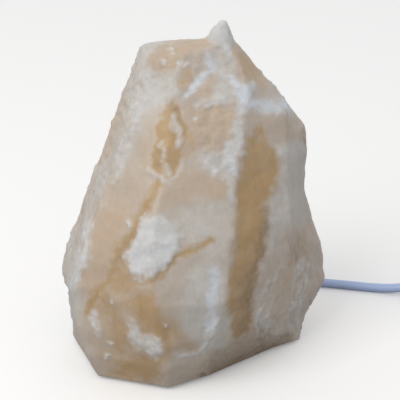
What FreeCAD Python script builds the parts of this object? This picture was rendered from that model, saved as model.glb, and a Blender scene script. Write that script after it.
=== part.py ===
import FreeCAD, Part
import Sketcher
import math
import os
from types import SimpleNamespace

# A salt crystal lamp: a rough lump of rock salt, bored from below, that stands on four rubber
# pads over a small screw lampholder. Spring clips hold the holder in the bore, and its lead
# leaves through a groove in the underside. Millimetres, +Z up, front towards -Y, origin on
# the table under the bore.

Vector = FreeCAD.Vector
doc = FreeCAD.newDocument("salt_crystal_lamp")
sheet = doc.addObject("Spreadsheet::Sheet", "Sizes")

driving_sizes = (
    # the lump of salt
    ("crystal_width", 152),
    ("crystal_depth", 128),
    ("crystal_height", 192),
    ("bore_diameter", 46),
    ("bore_chamfer", 2),
    ("bore_headroom", 3),
    ("groove_width", 12),
    ("groove_depth", 8),
    ("groove_bearing", 60),
    ("foot_diameter", 12),
    ("foot_height", 2),
    ("foot_edge", 0.4),
    # the lampholder
    ("holder_bottom", 30),
    ("dome_height", 22),
    ("dome_radius", 14.25),
    ("dome_nose_radius", 8),
    ("dome_shoulder", 10),
    ("dome_wall", 1.6),
    ("dome_rib_height", 0.6),
    ("dome_rib_width", 1.4),
    ("dome_rib_count", 16),
    ("spigot_height", 4),
    ("spigot_wall", 1.4),
    ("thread_gap", 0.2),
    ("skirt_height", 30),
    ("skirt_radius", 14),
    ("skirt_wall", 1.6),
    ("skirt_lip_radius", 8.6),
    ("skirt_lip_thickness", 2),
    ("collar_radius", 16),
    ("collar_height", 2),
    ("carrier_floor", 5),
    ("carrier_height", 20),
    ("carrier_gap", 0.3),
    ("shell_wall", 0.5),
    ("shell_height", 15.5),
    ("contact_height", 3),
    ("contact_gap", 0.3),
    ("terminal_width", 5),
    ("terminal_spread", 7.5),
    ("terminal_screw_radius", 1.3),
    # what holds the cord in the holder
    ("grip_length", 8),
    ("grip_thread_radius", 5),
    ("grip_thread_length", 6),
    ("grip_collar_radius", 7),
    ("grip_collar_height", 3),
    ("grip_sleeve_radius", 5.6),
    ("grip_screw_radius", 1.5),
    ("grip_nut_flats", 12),
    ("grip_nut_height", 2.5),
    # the spring fixing
    ("disc_radius", 21.5),
    ("disc_thickness", 0.8),
    ("clip_count", 3),
    ("clip_width", 9),
    ("clip_thickness", 0.6),
    ("clip_height", 26),
    ("clip_crest", 14),
    ("clip_lip_draw", 4),
    ("clip_clearance", 0.3),
    ("rivet_radius", 0.8),
    ("rivet_head_radius", 1.25),
    ("rivet_head_height", 0.5),
    ("shade_ring_radius", 17.2),
    ("shade_ring_height", 7),
    ("shade_ring_notches", 12),
    ("shade_ring_notch_radius", 1.2),
    # the bulb: a small tubular one with a 14 mm screw cap
    ("bulb_length", 48),
    ("bulb_travel", 16),
    ("glass_diameter", 22),
    ("glass_wall", 0.7),
    ("glass_neck_radius", 6.2),
    ("glass_crown_height", 10),
    ("cap_radius", 6.95),
    ("cap_wall", 0.35),
    ("cap_length", 16),
    ("cap_clearance", 0.1),
    ("insulator_height", 3.2),
    ("tip_radius", 1.6),
    ("lead_wire_radius", 0.4),
    # the cord and what is on it
    ("cord_diameter", 5.5),
    ("core_diameter", 2.2),
    ("core_pitch", 2.5),
    ("coil_outer_radius", 40),
    ("coil_pitch", 6.1),
    ("coil_turns_in", 3),
    ("coil_turns_out", 2.625),
    ("coil_layer_rise", 6.1),
    ("switch_length", 62),
    ("switch_width", 26),
    ("switch_height", 17),
    ("switch_split", 8.5),
    ("switch_wall", 1.8),
    ("switch_end_width", 14),
    ("switch_shoulder", 42),
    ("switch_corner", 2.5),
    ("switch_rim", 1.6),
    ("switch_entry_gap", 0.15),
    ("switch_cord_grip", 8),
    ("switch_screw_radius", 1.3),
    ("rocker_radius", 10),
    ("rocker_width", 12),
    ("rocker_angle", 12),
    ("rocker_dip", 2.9),
    ("rocker_crest", 4.7),
    ("rocker_skirt", 3),
    ("rocker_gap", 0.4),
    ("rocker_pin_radius", 1.5),
    ("rocker_pin_reach", 1.3),
    ("rocker_pin_clearance", 0.05),
    ("rocker_pivot_height", 14.6),
    ("bridge_thickness", 0.6),
    ("plug_width", 35.3),
    ("plug_height", 13.7),
    ("plug_body_length", 24),
    ("plug_relief_length", 26),
    ("plug_relief_root", 5.4),
    ("plug_relief_ribs", 6),
    ("pin_spacing", 18.6),
    ("pin_length", 19),
    ("pin_radius", 2),
    ("pin_sleeve_length", 10),
    ("pin_sleeve_radius", 1.8),
    ("pin_core_radius", 1.5),
    ("pin_seat", 8),
)
for row, (word, amount) in enumerate(driving_sizes, 1):
    sheet.set("A%d" % row, word)
    sheet.set("B%d" % row, str(amount))
    sheet.setAlias("B%d" % row, word)
doc.recompute()


class Size:
    """A length that carries its value and its formula in the sheet's names."""

    def __init__(self, value, formula):
        self.value = float(value)
        self.formula = formula

    def __add__(self, other):
        other = as_size(other)
        return Size(self.value + other.value, "(%s + %s)" % (self.formula, other.formula))

    def __sub__(self, other):
        other = as_size(other)
        return Size(self.value - other.value, "(%s - %s)" % (self.formula, other.formula))

    def __mul__(self, other):
        other = as_size(other)
        return Size(self.value * other.value, "(%s * %s)" % (self.formula, other.formula))

    def __truediv__(self, other):
        other = as_size(other)
        return Size(self.value / other.value, "(%s / %s)" % (self.formula, other.formula))

    def __neg__(self):
        return Size(-self.value, "(0 - %s)" % self.formula)

    def __radd__(self, other):
        return as_size(other) + self

    def __rsub__(self, other):
        return as_size(other) - self

    def __rmul__(self, other):
        return as_size(other) * self


def as_size(number):
    return number if isinstance(number, Size) else Size(number, "%.10g" % number)


def root_of(size):
    return Size(math.sqrt(size.value), "sqrt(%s)" % size.formula)


def cos_of(degrees):
    return Size(math.cos(math.radians(degrees.value)), "cos(%s)" % degrees.formula)


def sin_of(degrees):
    return Size(math.sin(math.radians(degrees.value)), "sin(%s)" % degrees.formula)


def crown_radius(half_width, rise):
    """The radius of a crown that is level in the middle and this wide at this drop."""
    return (half_width * half_width + rise * rise) / 2 / rise


s = SimpleNamespace(**{word: Size(amount, "Sizes." + word) for word, amount in driving_sizes})

# Heights and radii that several pieces share.
bore_radius = s.bore_diameter / 2
cord_radius = s.cord_diameter / 2
core_radius = s.core_diameter / 2
grip_exit = s.holder_bottom - s.grip_length
dome_top = s.holder_bottom + s.dome_height
spigot_radius = s.skirt_radius - s.skirt_wall - s.thread_gap
spigot_bore = spigot_radius - s.spigot_wall
spigot_top = dome_top + s.spigot_height
skirt_bore = s.skirt_radius - s.skirt_wall
disc_seat = dome_top + s.collar_height
clip_seat = disc_seat + s.disc_thickness
carrier_radius = skirt_bore - s.carrier_gap
shell_bore = s.cap_radius + s.cap_clearance
shell_radius = shell_bore + s.shell_wall
shell_seat = spigot_top + s.carrier_floor
bulb_bottom = shell_seat + s.contact_height
glass_top = bulb_bottom + s.bulb_length
bore_top = glass_top + s.bulb_travel + s.bore_headroom
glass_radius = s.glass_diameter / 2
grip_hole = s.grip_thread_radius + 0.1
grip_bore = cord_radius + 0.1
cord_inner_end = s.holder_bottom + s.grip_thread_length - 1
rivet_reach = s.shade_ring_radius + 0.25 + s.rivet_head_radius
clip_radius = root_of((bore_radius - s.clip_clearance) * (bore_radius - s.clip_clearance)
                      - s.clip_width * s.clip_width / 4)


def named_body(label):
    body = doc.addObject("PartDesign::Body", label)
    body.Label = label
    sub_parts.append(body)
    return body


def bind(thing, path, size):
    thing.setExpression(path, as_size(size).formula)


def place(body, x=0, y=0, z=0):
    for axis, amount in zip("xyz", (x, y, z)):
        bind(body, "Placement.Base." + axis, amount)


def origin_feature(body, role):
    return next(feature for feature in body.Origin.OriginFeatures if feature.Role == role)


def pin_point(drawing, edge, end, x, y):
    """Hold one end of an edge at x, y from the sketch's origin."""
    for kind, axis, amount in (("DistanceX", -2, x), ("DistanceY", -1, y)):
        amount = as_size(amount)
        if amount.formula == "0":
            drawing.addConstraint(Sketcher.Constraint("PointOnObject", edge, end, axis))
        else:
            index = drawing.addConstraint(
                Sketcher.Constraint(kind, -1, 1, edge, end, amount.value))
            bind(drawing, "Constraints[%d]" % index, amount)


def hold_radius(drawing, edge, radius):
    index = drawing.addConstraint(Sketcher.Constraint("Radius", edge, as_size(radius).value))
    bind(drawing, "Constraints[%d]" % index, radius)


def ring(x, y, radius):
    """A circle for a sketch."""
    def draw(drawing):
        centre = Vector(as_size(x).value, as_size(y).value, 0)
        circle = Part.Circle(centre, Vector(0, 0, 1), as_size(radius).value)
        edge = drawing.addGeometry(circle, False)
        pin_point(drawing, edge, 3, x, y)
        hold_radius(drawing, edge, radius)
    return draw


def left_arc(radius):
    return ("arc", as_size(radius), 1)


def right_arc(radius):
    return ("arc", as_size(radius), -1)


def outline(corners, closed=True):
    """Straight lines between corners; an arc set between two corners bulges to that side."""
    points = []
    bends = {}
    for item in corners:
        if item[0] == "arc":
            bends[len(points) - 1] = item[1:]
        else:
            points.append((as_size(item[0]), as_size(item[1])))

    def draw(drawing):
        spots = [Vector(x.value, y.value, 0) for x, y in points]
        count = len(spots) if closed else len(spots) - 1
        ends = []
        for index in range(count):
            first, last = spots[index], spots[(index + 1) % len(spots)]
            if index not in bends:
                ends.append((drawing.addGeometry(Part.LineSegment(first, last), False), 1, 2))
                continue
            radius, side = bends[index]
            chord = last - first
            normal = Vector(-chord.y, chord.x, 0).normalize()
            depth = math.sqrt(max(radius.value ** 2 - chord.Length ** 2 / 4, 0))
            centre = (first + last) * 0.5 - normal * depth * side
            start, stop = (last, first) if side == 1 else (first, last)
            angles = [math.atan2(spot.y - centre.y, spot.x - centre.x) for spot in (start, stop)]
            circle = Part.Circle(centre, Vector(0, 0, 1), radius.value)
            edge = drawing.addGeometry(Part.ArcOfCircle(circle, angles[0], angles[1]), False)
            ends.append((edge, 2, 1) if side == 1 else (edge, 1, 2))
        for here, after in zip(ends, ends[1:] + (ends[:1] if closed else [])):
            drawing.addConstraint(Sketcher.Constraint("Coincident", here[0], here[2],
                                                      after[0], after[1]))
        for (edge, start, _), (x, y) in zip(ends, points):
            pin_point(drawing, edge, start, x, y)
        if not closed:
            pin_point(drawing, ends[-1][0], ends[-1][2], *points[-1])
        for index, (radius, _) in bends.items():
            hold_radius(drawing, ends[index][0], radius)
    return draw


def sketch(body, name, plane, shapes, offset=0):
    drawing = body.newObject("Sketcher::SketchObject", name)
    drawing.AttachmentSupport = [(origin_feature(body, plane + "_Plane"), "")]
    drawing.MapMode = "FlatFace"
    bind(drawing, "AttachmentOffset.Base.z", offset)
    for shape in shapes:
        shape(drawing)
    return drawing


def pad(body, name, plane, shapes, length, offset=0, both_ways=False):
    feature = body.newObject("PartDesign::Pad", name)
    feature.Profile = sketch(body, name + "_outline", plane, shapes, offset)
    feature.SideType = "Symmetric" if both_ways else "One side"
    bind(feature, "Length", length)
    return feature


def pocket(body, name, plane, shapes, length, offset=0, both_ways=False, forwards=True):
    """Cut along the sketch's own direction, or against it."""
    feature = body.newObject("PartDesign::Pocket", name)
    feature.Profile = sketch(body, name + "_outline", plane, shapes, offset)
    feature.SideType = "Symmetric" if both_ways else "One side"
    feature.Reversed = forwards and not both_ways
    bind(feature, "Length", length)
    return feature


def revolve(body, name, corners, kind="Revolution", axis="V_Axis"):
    feature = body.newObject("PartDesign::" + kind, name)
    drawing = sketch(body, name + "_outline", "XZ", [outline(corners)])
    feature.Profile = drawing
    feature.ReferenceAxis = (drawing, [axis])
    feature.Angle = 360
    return feature


def repeat_round(body, name, feature, count):
    pattern = body.newObject("PartDesign::PolarPattern", name)
    pattern.Originals = [feature]
    pattern.Axis = (origin_feature(body, "Z_Axis"), [""])
    pattern.Angle = 360
    bind(pattern, "Occurrences", count)
    body.Tip = pattern
    return pattern


def edges_where(feature, test):
    doc.recompute()
    return ["Edge%d" % (index + 1) for index, edge in enumerate(feature.Shape.Edges) if test(edge)]


def round_edges(body, name, feature, radius, test):
    fillet = body.newObject("PartDesign::Fillet", name)
    fillet.Base = (feature, edges_where(feature, test))
    bind(fillet, "Radius", radius)
    return fillet


def bevel_edges(body, name, feature, size, test):
    chamfer = body.newObject("PartDesign::Chamfer", name)
    chamfer.Base = (feature, edges_where(feature, test))
    bind(chamfer, "Size", size)
    return chamfer


def at_height(height):
    """True for a level edge at this height in its body's own frame."""
    def test(edge):
        box = edge.BoundBox
        return abs(box.ZMin - height.value) < 0.001 and abs(box.ZMax - height.value) < 0.001
    return test


def box_corners(low_x, low_y, high_x, high_y):
    return [(low_x, low_y), (high_x, low_y), (high_x, high_y), (low_x, high_y)]


# ---- the lump of salt ----

# Each arris of the lump, going up: x and y in hundredths of the half width and half depth,
# at heights in hundredths of the whole height.
arris_heights = (0, 8, 17, 23, 29, 38, 47, 60, 67, 74, 83, 92)
arrises = (
    # left flank
    ((-93, 3), (-95, 5), (-96, 7), (-100, 8),
     (-97, 10), (-88, 11), (-81, 12), (-68, 13),
     (-62, 13), (-56, 13), (-47, 13), (-38, 18)),
    # left ridge
    ((-71, -61), (-79, -64), (-85, -63), (-84, -61),
     (-84, -59), (-79, -55), (-71, -49), (-58, -38),
     (-52, -31), (-47, -24), (-41, -13), (-34, -3)),
    # front
    ((-19, -80), (-20, -89), (-23, -96), (-26, -98),
     (-29, -100), (-31, -93), (-30, -83), (-23, -65),
     (-20, -54), (-18, -43), (-13, -25), (-8, -8)),
    # main ridge
    ((10, -61), (13, -75), (16, -83), (18, -84),
     (21, -86), (24, -80), (26, -71), (28, -55),
     (32, -44), (35, -34), (38, -17), (30, 0)),
    # right ridge
    ((60, -14), (63, -27), (67, -32), (68, -33),
     (70, -34), (70, -34), (69, -31), (66, -20),
     (66, -12), (65, -4), (47, 4), (31, 9)),
    # right flank
    ((81, 0), (87, 14), (100, 21), (98, 22),
     (97, 24), (88, 24), (82, 25), (83, 24),
     (81, 24), (68, 22), (49, 21), (32, 20)),
    # back right
    ((59, 62), (64, 72), (68, 78), (68, 80),
     (68, 81), (64, 78), (61, 73), (55, 62),
     (49, 54), (43, 47), (34, 34), (24, 27)),
    # back
    ((7, 81), (4, 91), (0, 98), (-2, 99),
     (-3, 100), (-4, 97), (-5, 89), (-7, 72),
     (-8, 62), (-8, 53), (-8, 39), (-8, 27)),
    # back left
    ((-55, 69), (-63, 75), (-68, 78), (-68, 78),
     (-67, 77), (-62, 72), (-57, 66), (-49, 53),
     (-45, 47), (-41, 41), (-34, 31), (-26, 30)),
)
# The horn on top: height, centre x and y, half width and half depth, in the same hundredths.
horn_steps = ((94, 17, 11, 11.5, 9.5), (97, 19, 9, 7, 6.5), (100, 20, 7, 2.2, 2))
first_bearing = 180


def salt_crystal():
    """The bored lump, with its groove for the cord."""
    body = named_body("salt_crystal")
    place(body, z=s.foot_height)
    share_x = s.crystal_width / 200
    share_y = s.crystal_depth / 200
    share_z = s.crystal_height / 100
    sections = []
    for level, height in enumerate(arris_heights):
        corners = [(share_x * arris[level][0], share_y * arris[level][1]) for arris in arrises]
        sections.append(sketch(body, "level_%d" % height, "XY", [outline(corners)],
                               share_z * height))
    for height, mid_x, mid_y, half_x, half_y in horn_steps:
        corners = []
        for index in range(len(arrises)):
            bearing = math.radians(first_bearing + index * 360 / len(arrises))
            corners.append((share_x * round(mid_x + half_x * math.cos(bearing), 3),
                            share_y * round(mid_y + half_y * math.sin(bearing), 3)))
        sections.append(sketch(body, "horn_%d" % height, "XY", [outline(corners)],
                               share_z * height))
    lump = body.newObject("PartDesign::AdditiveLoft", "lump")
    lump.Profile = sections[0]
    lump.Sections = sections[1:]
    lump.Ruled = True

    along, across = cos_of(s.groove_bearing), sin_of(s.groove_bearing)
    side = s.groove_width / 2
    reach = s.crystal_width / 2 + s.crystal_depth / 2
    groove_corners = [
        (across * side, -(along * side)),
        (along * reach + across * side, across * reach - along * side),
        (along * reach - across * side, across * reach + along * side),
        (-(across * side), along * side),
    ]
    pocket(body, "cord_groove", "XY", [outline(groove_corners)], s.groove_depth)
    bore = pocket(body, "bore", "XY", [ring(0, 0, bore_radius)], bore_top - s.foot_height)

    def bore_mouth(edge):
        middle = edge.valueAt((edge.FirstParameter + edge.LastParameter) / 2)
        level = at_height(as_size(0))(edge)
        return level and abs(math.hypot(middle.x, middle.y) - bore_radius.value) < 0.01

    bevel_edges(body, "bore_mouth", bore, s.bore_chamfer, bore_mouth)


# Each pad's place, in hundredths of the lump's half width and half depth.
foot_places = (
    ("foot_front", -16, -59),
    ("foot_right", 57, 9),
    ("foot_back", -13, 62),
    ("foot_left", -63, -8),
)


def rubber_foot(label, x, y):
    """One self-adhesive pad under the lump."""
    body = named_body(label)
    place(body, s.crystal_width / 200 * x, s.crystal_depth / 200 * y)
    disc = pad(body, "disc", "XY", [ring(0, 0, s.foot_diameter / 2)], s.foot_height)
    round_edges(body, "rim", disc, s.foot_edge, at_height(as_size(0)))


# ---- the lampholder ----

def holder_dome():
    """The lower half of the holder: a nose for the cord, and a spigot that screws into the skirt."""
    body = named_body("holder_dome")
    place(body, z=s.holder_bottom)
    inner_nose = s.dome_nose_radius - s.dome_wall / 2
    revolve(body, "shell", [
        (grip_hole, 0),
        (s.dome_nose_radius, 0),
        right_arc(s.dome_shoulder * 1.15),
        (s.dome_radius, s.dome_shoulder),
        (s.dome_radius, s.dome_height),
        (spigot_radius, s.dome_height),
        (spigot_radius, s.dome_height + s.spigot_height),
        (spigot_bore, s.dome_height + s.spigot_height),
        (spigot_bore, s.dome_shoulder + s.dome_wall),
        left_arc(s.dome_shoulder * 1.15),
        (inner_nose, s.dome_wall),
        (grip_hole, s.dome_wall),
    ])
    rib_foot = s.dome_radius - 0.3
    rib = pad(body, "rib", "XY",
              [outline(box_corners(rib_foot, -(s.dome_rib_width / 2),
                                   s.dome_radius + s.dome_rib_height, s.dome_rib_width / 2))],
              s.dome_height - s.dome_shoulder - 2, s.dome_shoulder + 1)
    repeat_round(body, "ribs", rib, s.dome_rib_count)


def holder_skirt():
    """The upper sleeve: a collar that carries the spring disc, and a lip round the bulb."""
    body = named_body("holder_skirt")
    place(body, z=dome_top)
    lip_seat = s.skirt_height - s.skirt_lip_thickness
    revolve(body, "sleeve", [
        (skirt_bore, 0),
        (s.collar_radius, 0),
        (s.collar_radius, s.collar_height),
        (s.skirt_radius, s.collar_height),
        (s.skirt_radius, s.skirt_height - 1),
        (s.skirt_radius - 1, s.skirt_height),
        (s.skirt_lip_radius, s.skirt_height),
        (s.skirt_lip_radius, lip_seat),
        (skirt_bore, lip_seat),
    ])


def contact_carrier():
    """The moulded insert that sits on the spigot and holds the screw shell."""
    body = named_body("contact_carrier")
    place(body, z=spigot_top)
    revolve(body, "cup", [
        (s.tip_radius + 0.1, 0),
        (carrier_radius, 0),
        (carrier_radius, s.carrier_height - 1),
        (carrier_radius - 1, s.carrier_height),
        (shell_radius + 0.1, s.carrier_height),
        (shell_radius + 0.1, s.carrier_floor),
        (s.tip_radius + 0.1, s.carrier_floor),
    ])


def screw_shell():
    """The brass sleeve that takes the bulb's cap."""
    body = named_body("screw_shell")
    place(body, z=shell_seat)
    revolve(body, "sleeve", [
        (shell_radius - 3, 0),
        (shell_radius, 0),
        (shell_radius, s.shell_height),
        (shell_bore, s.shell_height),
        (shell_bore, s.shell_wall),
        (shell_radius - 3, s.shell_wall),
    ])


def centre_contact():
    """A rivet through the carrier's floor, and the tongue that presses on the bulb's tip."""
    body = named_body("centre_contact")
    place(body, z=shell_seat)
    head = 0.5
    leaf = 0.5
    tip = s.contact_height - s.contact_gap
    pad(body, "shank", "XY", [ring(0, 0, s.tip_radius)], s.carrier_floor + head,
        -s.carrier_floor)
    pad(body, "tongue", "XZ", [outline([
        (-2.5, head),
        (2.5, head),
        (2.5, head + leaf),
        (-1, head + leaf),
        (2.4, tip - leaf),
        (2.4, tip),
        (1.4, tip),
        (-2.5, head + leaf + 0.4),
    ])], 3.4, both_ways=True)


def terminal(label, side):
    """A brass block under the carrier, on the live or the neutral side."""
    body = named_body(label)
    place(body, s.terminal_spread * side, 0, spigot_top - s.terminal_width)
    half = s.terminal_width / 2
    pad(body, "block", "XY", [outline(box_corners(-half, -half, half, half))],
        s.terminal_width)
    pocket(body, "screw_hole", "XZ", [ring(0, half, s.terminal_screw_radius + 0.05)],
           s.terminal_width / 2 + 1)


def terminal_screws():
    """The two screws that clamp the cores in the terminals."""
    screws = []
    for side in (-1, 1):
        radius = s.terminal_screw_radius.value
        half = s.terminal_width.value / 2
        centre = Vector(s.terminal_spread.value * side, -half, spigot_top.value - half)
        shank = Part.makeCylinder(radius, half, centre + Vector(0, half, 0), Vector(0, -1, 0))
        head = Part.makeCylinder(radius * 1.5, 1.2, centre, Vector(0, -1, 0))
        screws.append(shank.fuse(head).removeSplitter())
    made_shape("terminal_screws", screws)


def cord_grip():
    """The threaded nipple in the dome's nose, whose sleeve clamps the cord."""
    body = named_body("cord_grip")
    place(body, z=grip_exit)
    seat = s.grip_length
    sleeve_top = s.grip_length - s.grip_collar_height
    revolve(body, "nipple", [
        (grip_bore, 0),
        (s.grip_sleeve_radius - 0.6, 0),
        (s.grip_sleeve_radius, 0.6),
        (s.grip_sleeve_radius, sleeve_top),
        (s.grip_collar_radius, sleeve_top),
        (s.grip_collar_radius, seat),
        (s.grip_thread_radius, seat),
        (s.grip_thread_radius, seat + s.grip_thread_length),
        (grip_bore, seat + s.grip_thread_length),
    ])
    pocket(body, "screw_hole", "YZ", [ring(0, sleeve_top / 2, s.grip_screw_radius + 0.05)],
           s.grip_sleeve_radius + 1)


def grip_screw():
    """The nylon screw that bears on the cord in the grip."""
    body = named_body("grip_screw")
    place(body, cord_radius + 0.1, 0, grip_exit + (s.grip_length - s.grip_collar_height) / 2)
    reach = s.grip_sleeve_radius - cord_radius
    pad(body, "shank", "YZ", [ring(0, 0, s.grip_screw_radius)], reach)
    pad(body, "head", "YZ", [ring(0, 0, s.grip_screw_radius * 1.5)], 1.6, reach)
    pocket(body, "slot", "YZ",
           [outline(box_corners(-0.3, -(s.grip_screw_radius * 2), 0.3, s.grip_screw_radius * 2))],
           1, reach + 0.8)


def grip_nut():
    """The flat nut inside the dome's nose."""
    body = named_body("grip_nut")
    place(body, z=s.holder_bottom + s.dome_wall)
    across = s.grip_nut_flats / 2 / math.cos(math.radians(30))
    corners = [(across * round(math.cos(math.radians(60 * index)), 4),
                across * round(math.sin(math.radians(60 * index)), 4)) for index in range(6)]
    pad(body, "hexagon", "XY", [outline(corners), ring(0, 0, grip_hole)], s.grip_nut_height)


# ---- the spring fixing ----

def clip_disc():
    """The sheet-metal ring that lies on the collar and carries the clips."""
    body = named_body("clip_disc")
    place(body, z=disc_seat)
    pad(body, "ring", "XY", [ring(0, 0, s.disc_radius), ring(0, 0, s.skirt_radius + 0.3)],
        s.disc_thickness)
    hole = pocket(body, "rivet_hole", "XY", [ring(rivet_reach, 0, s.rivet_radius + 0.05)],
                  s.disc_thickness)
    repeat_round(body, "rivet_holes", hole, s.clip_count)


def spring_clip(index):
    """A bent leaf: a riveted foot, a leg that leans out to the bore, and a drawn-in tip."""
    body = named_body("spring_clip_%d" % (index + 1))
    place(body, z=clip_seat)
    body.setExpression("Placement.Rotation.Angle",
                       "%d * 360 / Sizes.clip_count" % index)
    body.Placement.Rotation.Axis = Vector(0, 0, 1)
    half = s.clip_thickness / 2
    foot_start = s.shade_ring_radius + 0.1
    crest = clip_radius - half
    heel = s.disc_radius - half
    path = sketch(body, "path", "XZ", [outline([
        (foot_start, half),
        (heel - 1.2, half),
        right_arc(1.2),
        (heel, half + 1.2),
        (crest, s.clip_crest),
        right_arc(s.clip_height),
        (crest - 0.4, s.clip_crest + 5),
        (crest - s.clip_lip_draw, s.clip_height),
    ], closed=False)])
    section = sketch(body, "section", "YZ", [outline(box_corners(
        -(s.clip_width / 2), 0, s.clip_width / 2, s.clip_thickness))], foot_start)
    leaf = body.newObject("PartDesign::AdditivePipe", "leaf")
    leaf.Profile = section
    leaf.Spine = (path, [""])
    leaf.Transition = "Round corner"
    pocket(body, "rivet_hole", "XY", [ring(rivet_reach, 0, s.rivet_radius + 0.05)],
           s.clip_thickness)


def clip_rivets():
    """One rivet through each clip's foot and the disc."""
    rivets = []
    head = s.rivet_head_height.value
    low = disc_seat.value
    high = clip_seat.value + s.clip_thickness.value
    for index in range(round(s.clip_count.value)):
        bearing = 2 * math.pi * index / s.clip_count.value
        centre = Vector(rivet_reach.value * math.cos(bearing),
                        rivet_reach.value * math.sin(bearing), low)
        shank = Part.makeCylinder(s.rivet_radius.value, high - low, centre)
        top = Part.makeCylinder(s.rivet_head_radius.value, head,
                                centre + Vector(0, 0, high - low))
        bottom = Part.makeCylinder(s.rivet_head_radius.value, head,
                                   centre - Vector(0, 0, head))
        rivets.append(shank.multiFuse([top, bottom]).removeSplitter())
    made_shape("clip_rivets", rivets)


def shade_ring():
    """The threaded ring that clamps the disc to the collar, notched for the fingers."""
    body = named_body("shade_ring")
    place(body, z=clip_seat)
    bore = s.skirt_radius + s.thread_gap
    pad(body, "band", "XY", [ring(0, 0, s.shade_ring_radius), ring(0, 0, bore)],
        s.shade_ring_height)
    notch = pocket(body, "notch", "XY",
                   [ring(s.shade_ring_radius + 0.4, 0, s.shade_ring_notch_radius)],
                   s.shade_ring_height - 1.5, 1.5)
    repeat_round(body, "notches", notch, s.shade_ring_notches)


# ---- the bulb ----

def bulb_cap():
    """The brass screw cap, as a plain sleeve over the thread's crests."""
    body = named_body("bulb_cap")
    place(body, z=bulb_bottom)
    inner = s.cap_radius - s.cap_wall
    mouth = s.tip_radius * 2
    low = s.insulator_height - 1
    knee = s.insulator_height + 0.8
    top = s.insulator_height + s.cap_length
    revolve(body, "sleeve", [
        (mouth, low),
        (s.cap_radius, knee),
        (s.cap_radius, top),
        (inner, top),
        (inner, knee + s.cap_wall),
        (mouth, low + s.cap_wall),
    ])


def bulb_insulator():
    """The glass bead between the cap and the tip."""
    body = named_body("bulb_insulator")
    place(body, z=bulb_bottom)
    seat = s.insulator_height - 1
    revolve(body, "bead", [
        (s.tip_radius + 0.05, 1),
        (s.tip_radius + 0.6, 1),
        (s.tip_radius * 2 - 0.05, seat - 0.2),
        (s.tip_radius * 2 - 0.05, s.insulator_height),
        (s.tip_radius + 0.05, s.insulator_height),
    ])


def bulb_tip():
    """The solder contact in the middle of the bead."""
    body = named_body("bulb_tip")
    place(body, z=bulb_bottom)
    revolve(body, "dome", [
        (0, 0),
        right_arc(crown_radius(s.tip_radius, as_size(1))),
        (s.tip_radius, 1),
        (s.tip_radius, s.insulator_height),
        (0, s.insulator_height),
    ])


def bulb_glass():
    """The tubular envelope, open at the neck where the stem is sealed in."""
    body = named_body("bulb_glass")
    place(body, z=bulb_bottom)
    wall = s.glass_wall
    low = s.insulator_height + 4
    neck_top = s.insulator_height + s.cap_length + 0.5
    shoulder = neck_top + 6
    crown = s.bulb_length - s.glass_crown_height
    inner_radius = glass_radius - wall
    revolve(body, "envelope", [
        (s.glass_neck_radius, low),
        (s.glass_neck_radius, neck_top),
        right_arc(7),
        (glass_radius, shoulder),
        (glass_radius, crown),
        right_arc(crown_radius(glass_radius, s.glass_crown_height)),
        (0, s.bulb_length),
        (0, s.bulb_length - wall),
        left_arc(crown_radius(inner_radius, s.glass_crown_height - wall)),
        (inner_radius, crown),
        (inner_radius, shoulder),
        left_arc(7),
        (s.glass_neck_radius - wall, neck_top + wall),
        (s.glass_neck_radius - wall, low),
    ])


stem_top = s.insulator_height + s.cap_length + 8


def glass_stem():
    """The flare sealed in the neck, and the rod that carries the wires."""
    body = named_body("glass_stem")
    place(body, z=bulb_bottom)
    low = s.insulator_height + 4
    flare = s.glass_neck_radius - s.glass_wall - 0.1
    revolve(body, "flare", [
        (0, low + 1.2),
        (flare - 1, low + 1.2),
        (flare - 1, low),
        (flare, low),
        (flare, low + 2),
        left_arc(9),
        (1.6, stem_top - 8),
        (1.6, stem_top),
        (0, stem_top),
    ])


filament_reach = 5
filament_drop = 5


def lead_wires():
    """Two wires from the stem's pinch to the ends of the filament."""
    wires = []
    base = bulb_bottom.value + stem_top.value
    for side in (-1, 1):
        wires.append(tube([
            Vector(side * 0.9, 0, base),
            Vector(side * 0.9, 0, base + 1.2),
            Vector(side * filament_reach, 0, base + 3.4),
            Vector(side * filament_reach, 0, base + filament_drop),
        ], s.lead_wire_radius.value))
    made_shape("lead_wires", wires)


def filament():
    """The filament, as the fine rod that its coils fill, hung in a zigzag."""
    base = bulb_bottom.value + stem_top.value + filament_drop
    first_rise = 1
    crest = 5
    points = [Vector(-filament_reach, 0, base), Vector(-filament_reach, 0, base + first_rise)]
    for step in range(1, 4):
        high = base + (crest if step % 2 else first_rise)
        points.append(Vector(-filament_reach + step * filament_reach / 2, 0, high))
    points += [Vector(filament_reach, 0, base + first_rise), Vector(filament_reach, 0, base)]
    made_shape("filament", [tube(points, s.lead_wire_radius.value)])


# ---- tubes: the cord and its cores ----

def made_shape(label, solids):
    piece = doc.addObject("Part::Feature", label)
    piece.Label = label
    piece.Shape = solids[0] if len(solids) == 1 else Part.makeCompound(solids)
    piece.Placement = FreeCAD.Placement()
    sub_parts.append(piece)


def rounded_path(points):
    """Straight runs joined by tangent arcs, each as large as its two runs allow."""
    edges = []
    radii = []
    start = points[0]
    for before, corner, after in zip(points, points[1:], points[2:]):
        run_in, run_out = corner - before, after - corner
        reach = 0.45 * min(run_in.Length, run_out.Length)
        half_turn = run_in.getAngle(run_out) / 2
        radius = reach / math.tan(half_turn)
        run_in.normalize()
        run_out.normalize()
        inward = (run_out - run_in).normalize()
        middle = corner + inward * (radius / math.cos(half_turn) - radius)
        first, last = corner - run_in * reach, corner + run_out * reach
        edges.append(Part.LineSegment(start, first).toShape())
        edges.append(Part.Arc(first, middle, last).toShape())
        radii.append(radius)
        start = last
    edges.append(Part.LineSegment(start, points[-1]).toShape())
    return Part.Wire(edges), radii


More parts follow.
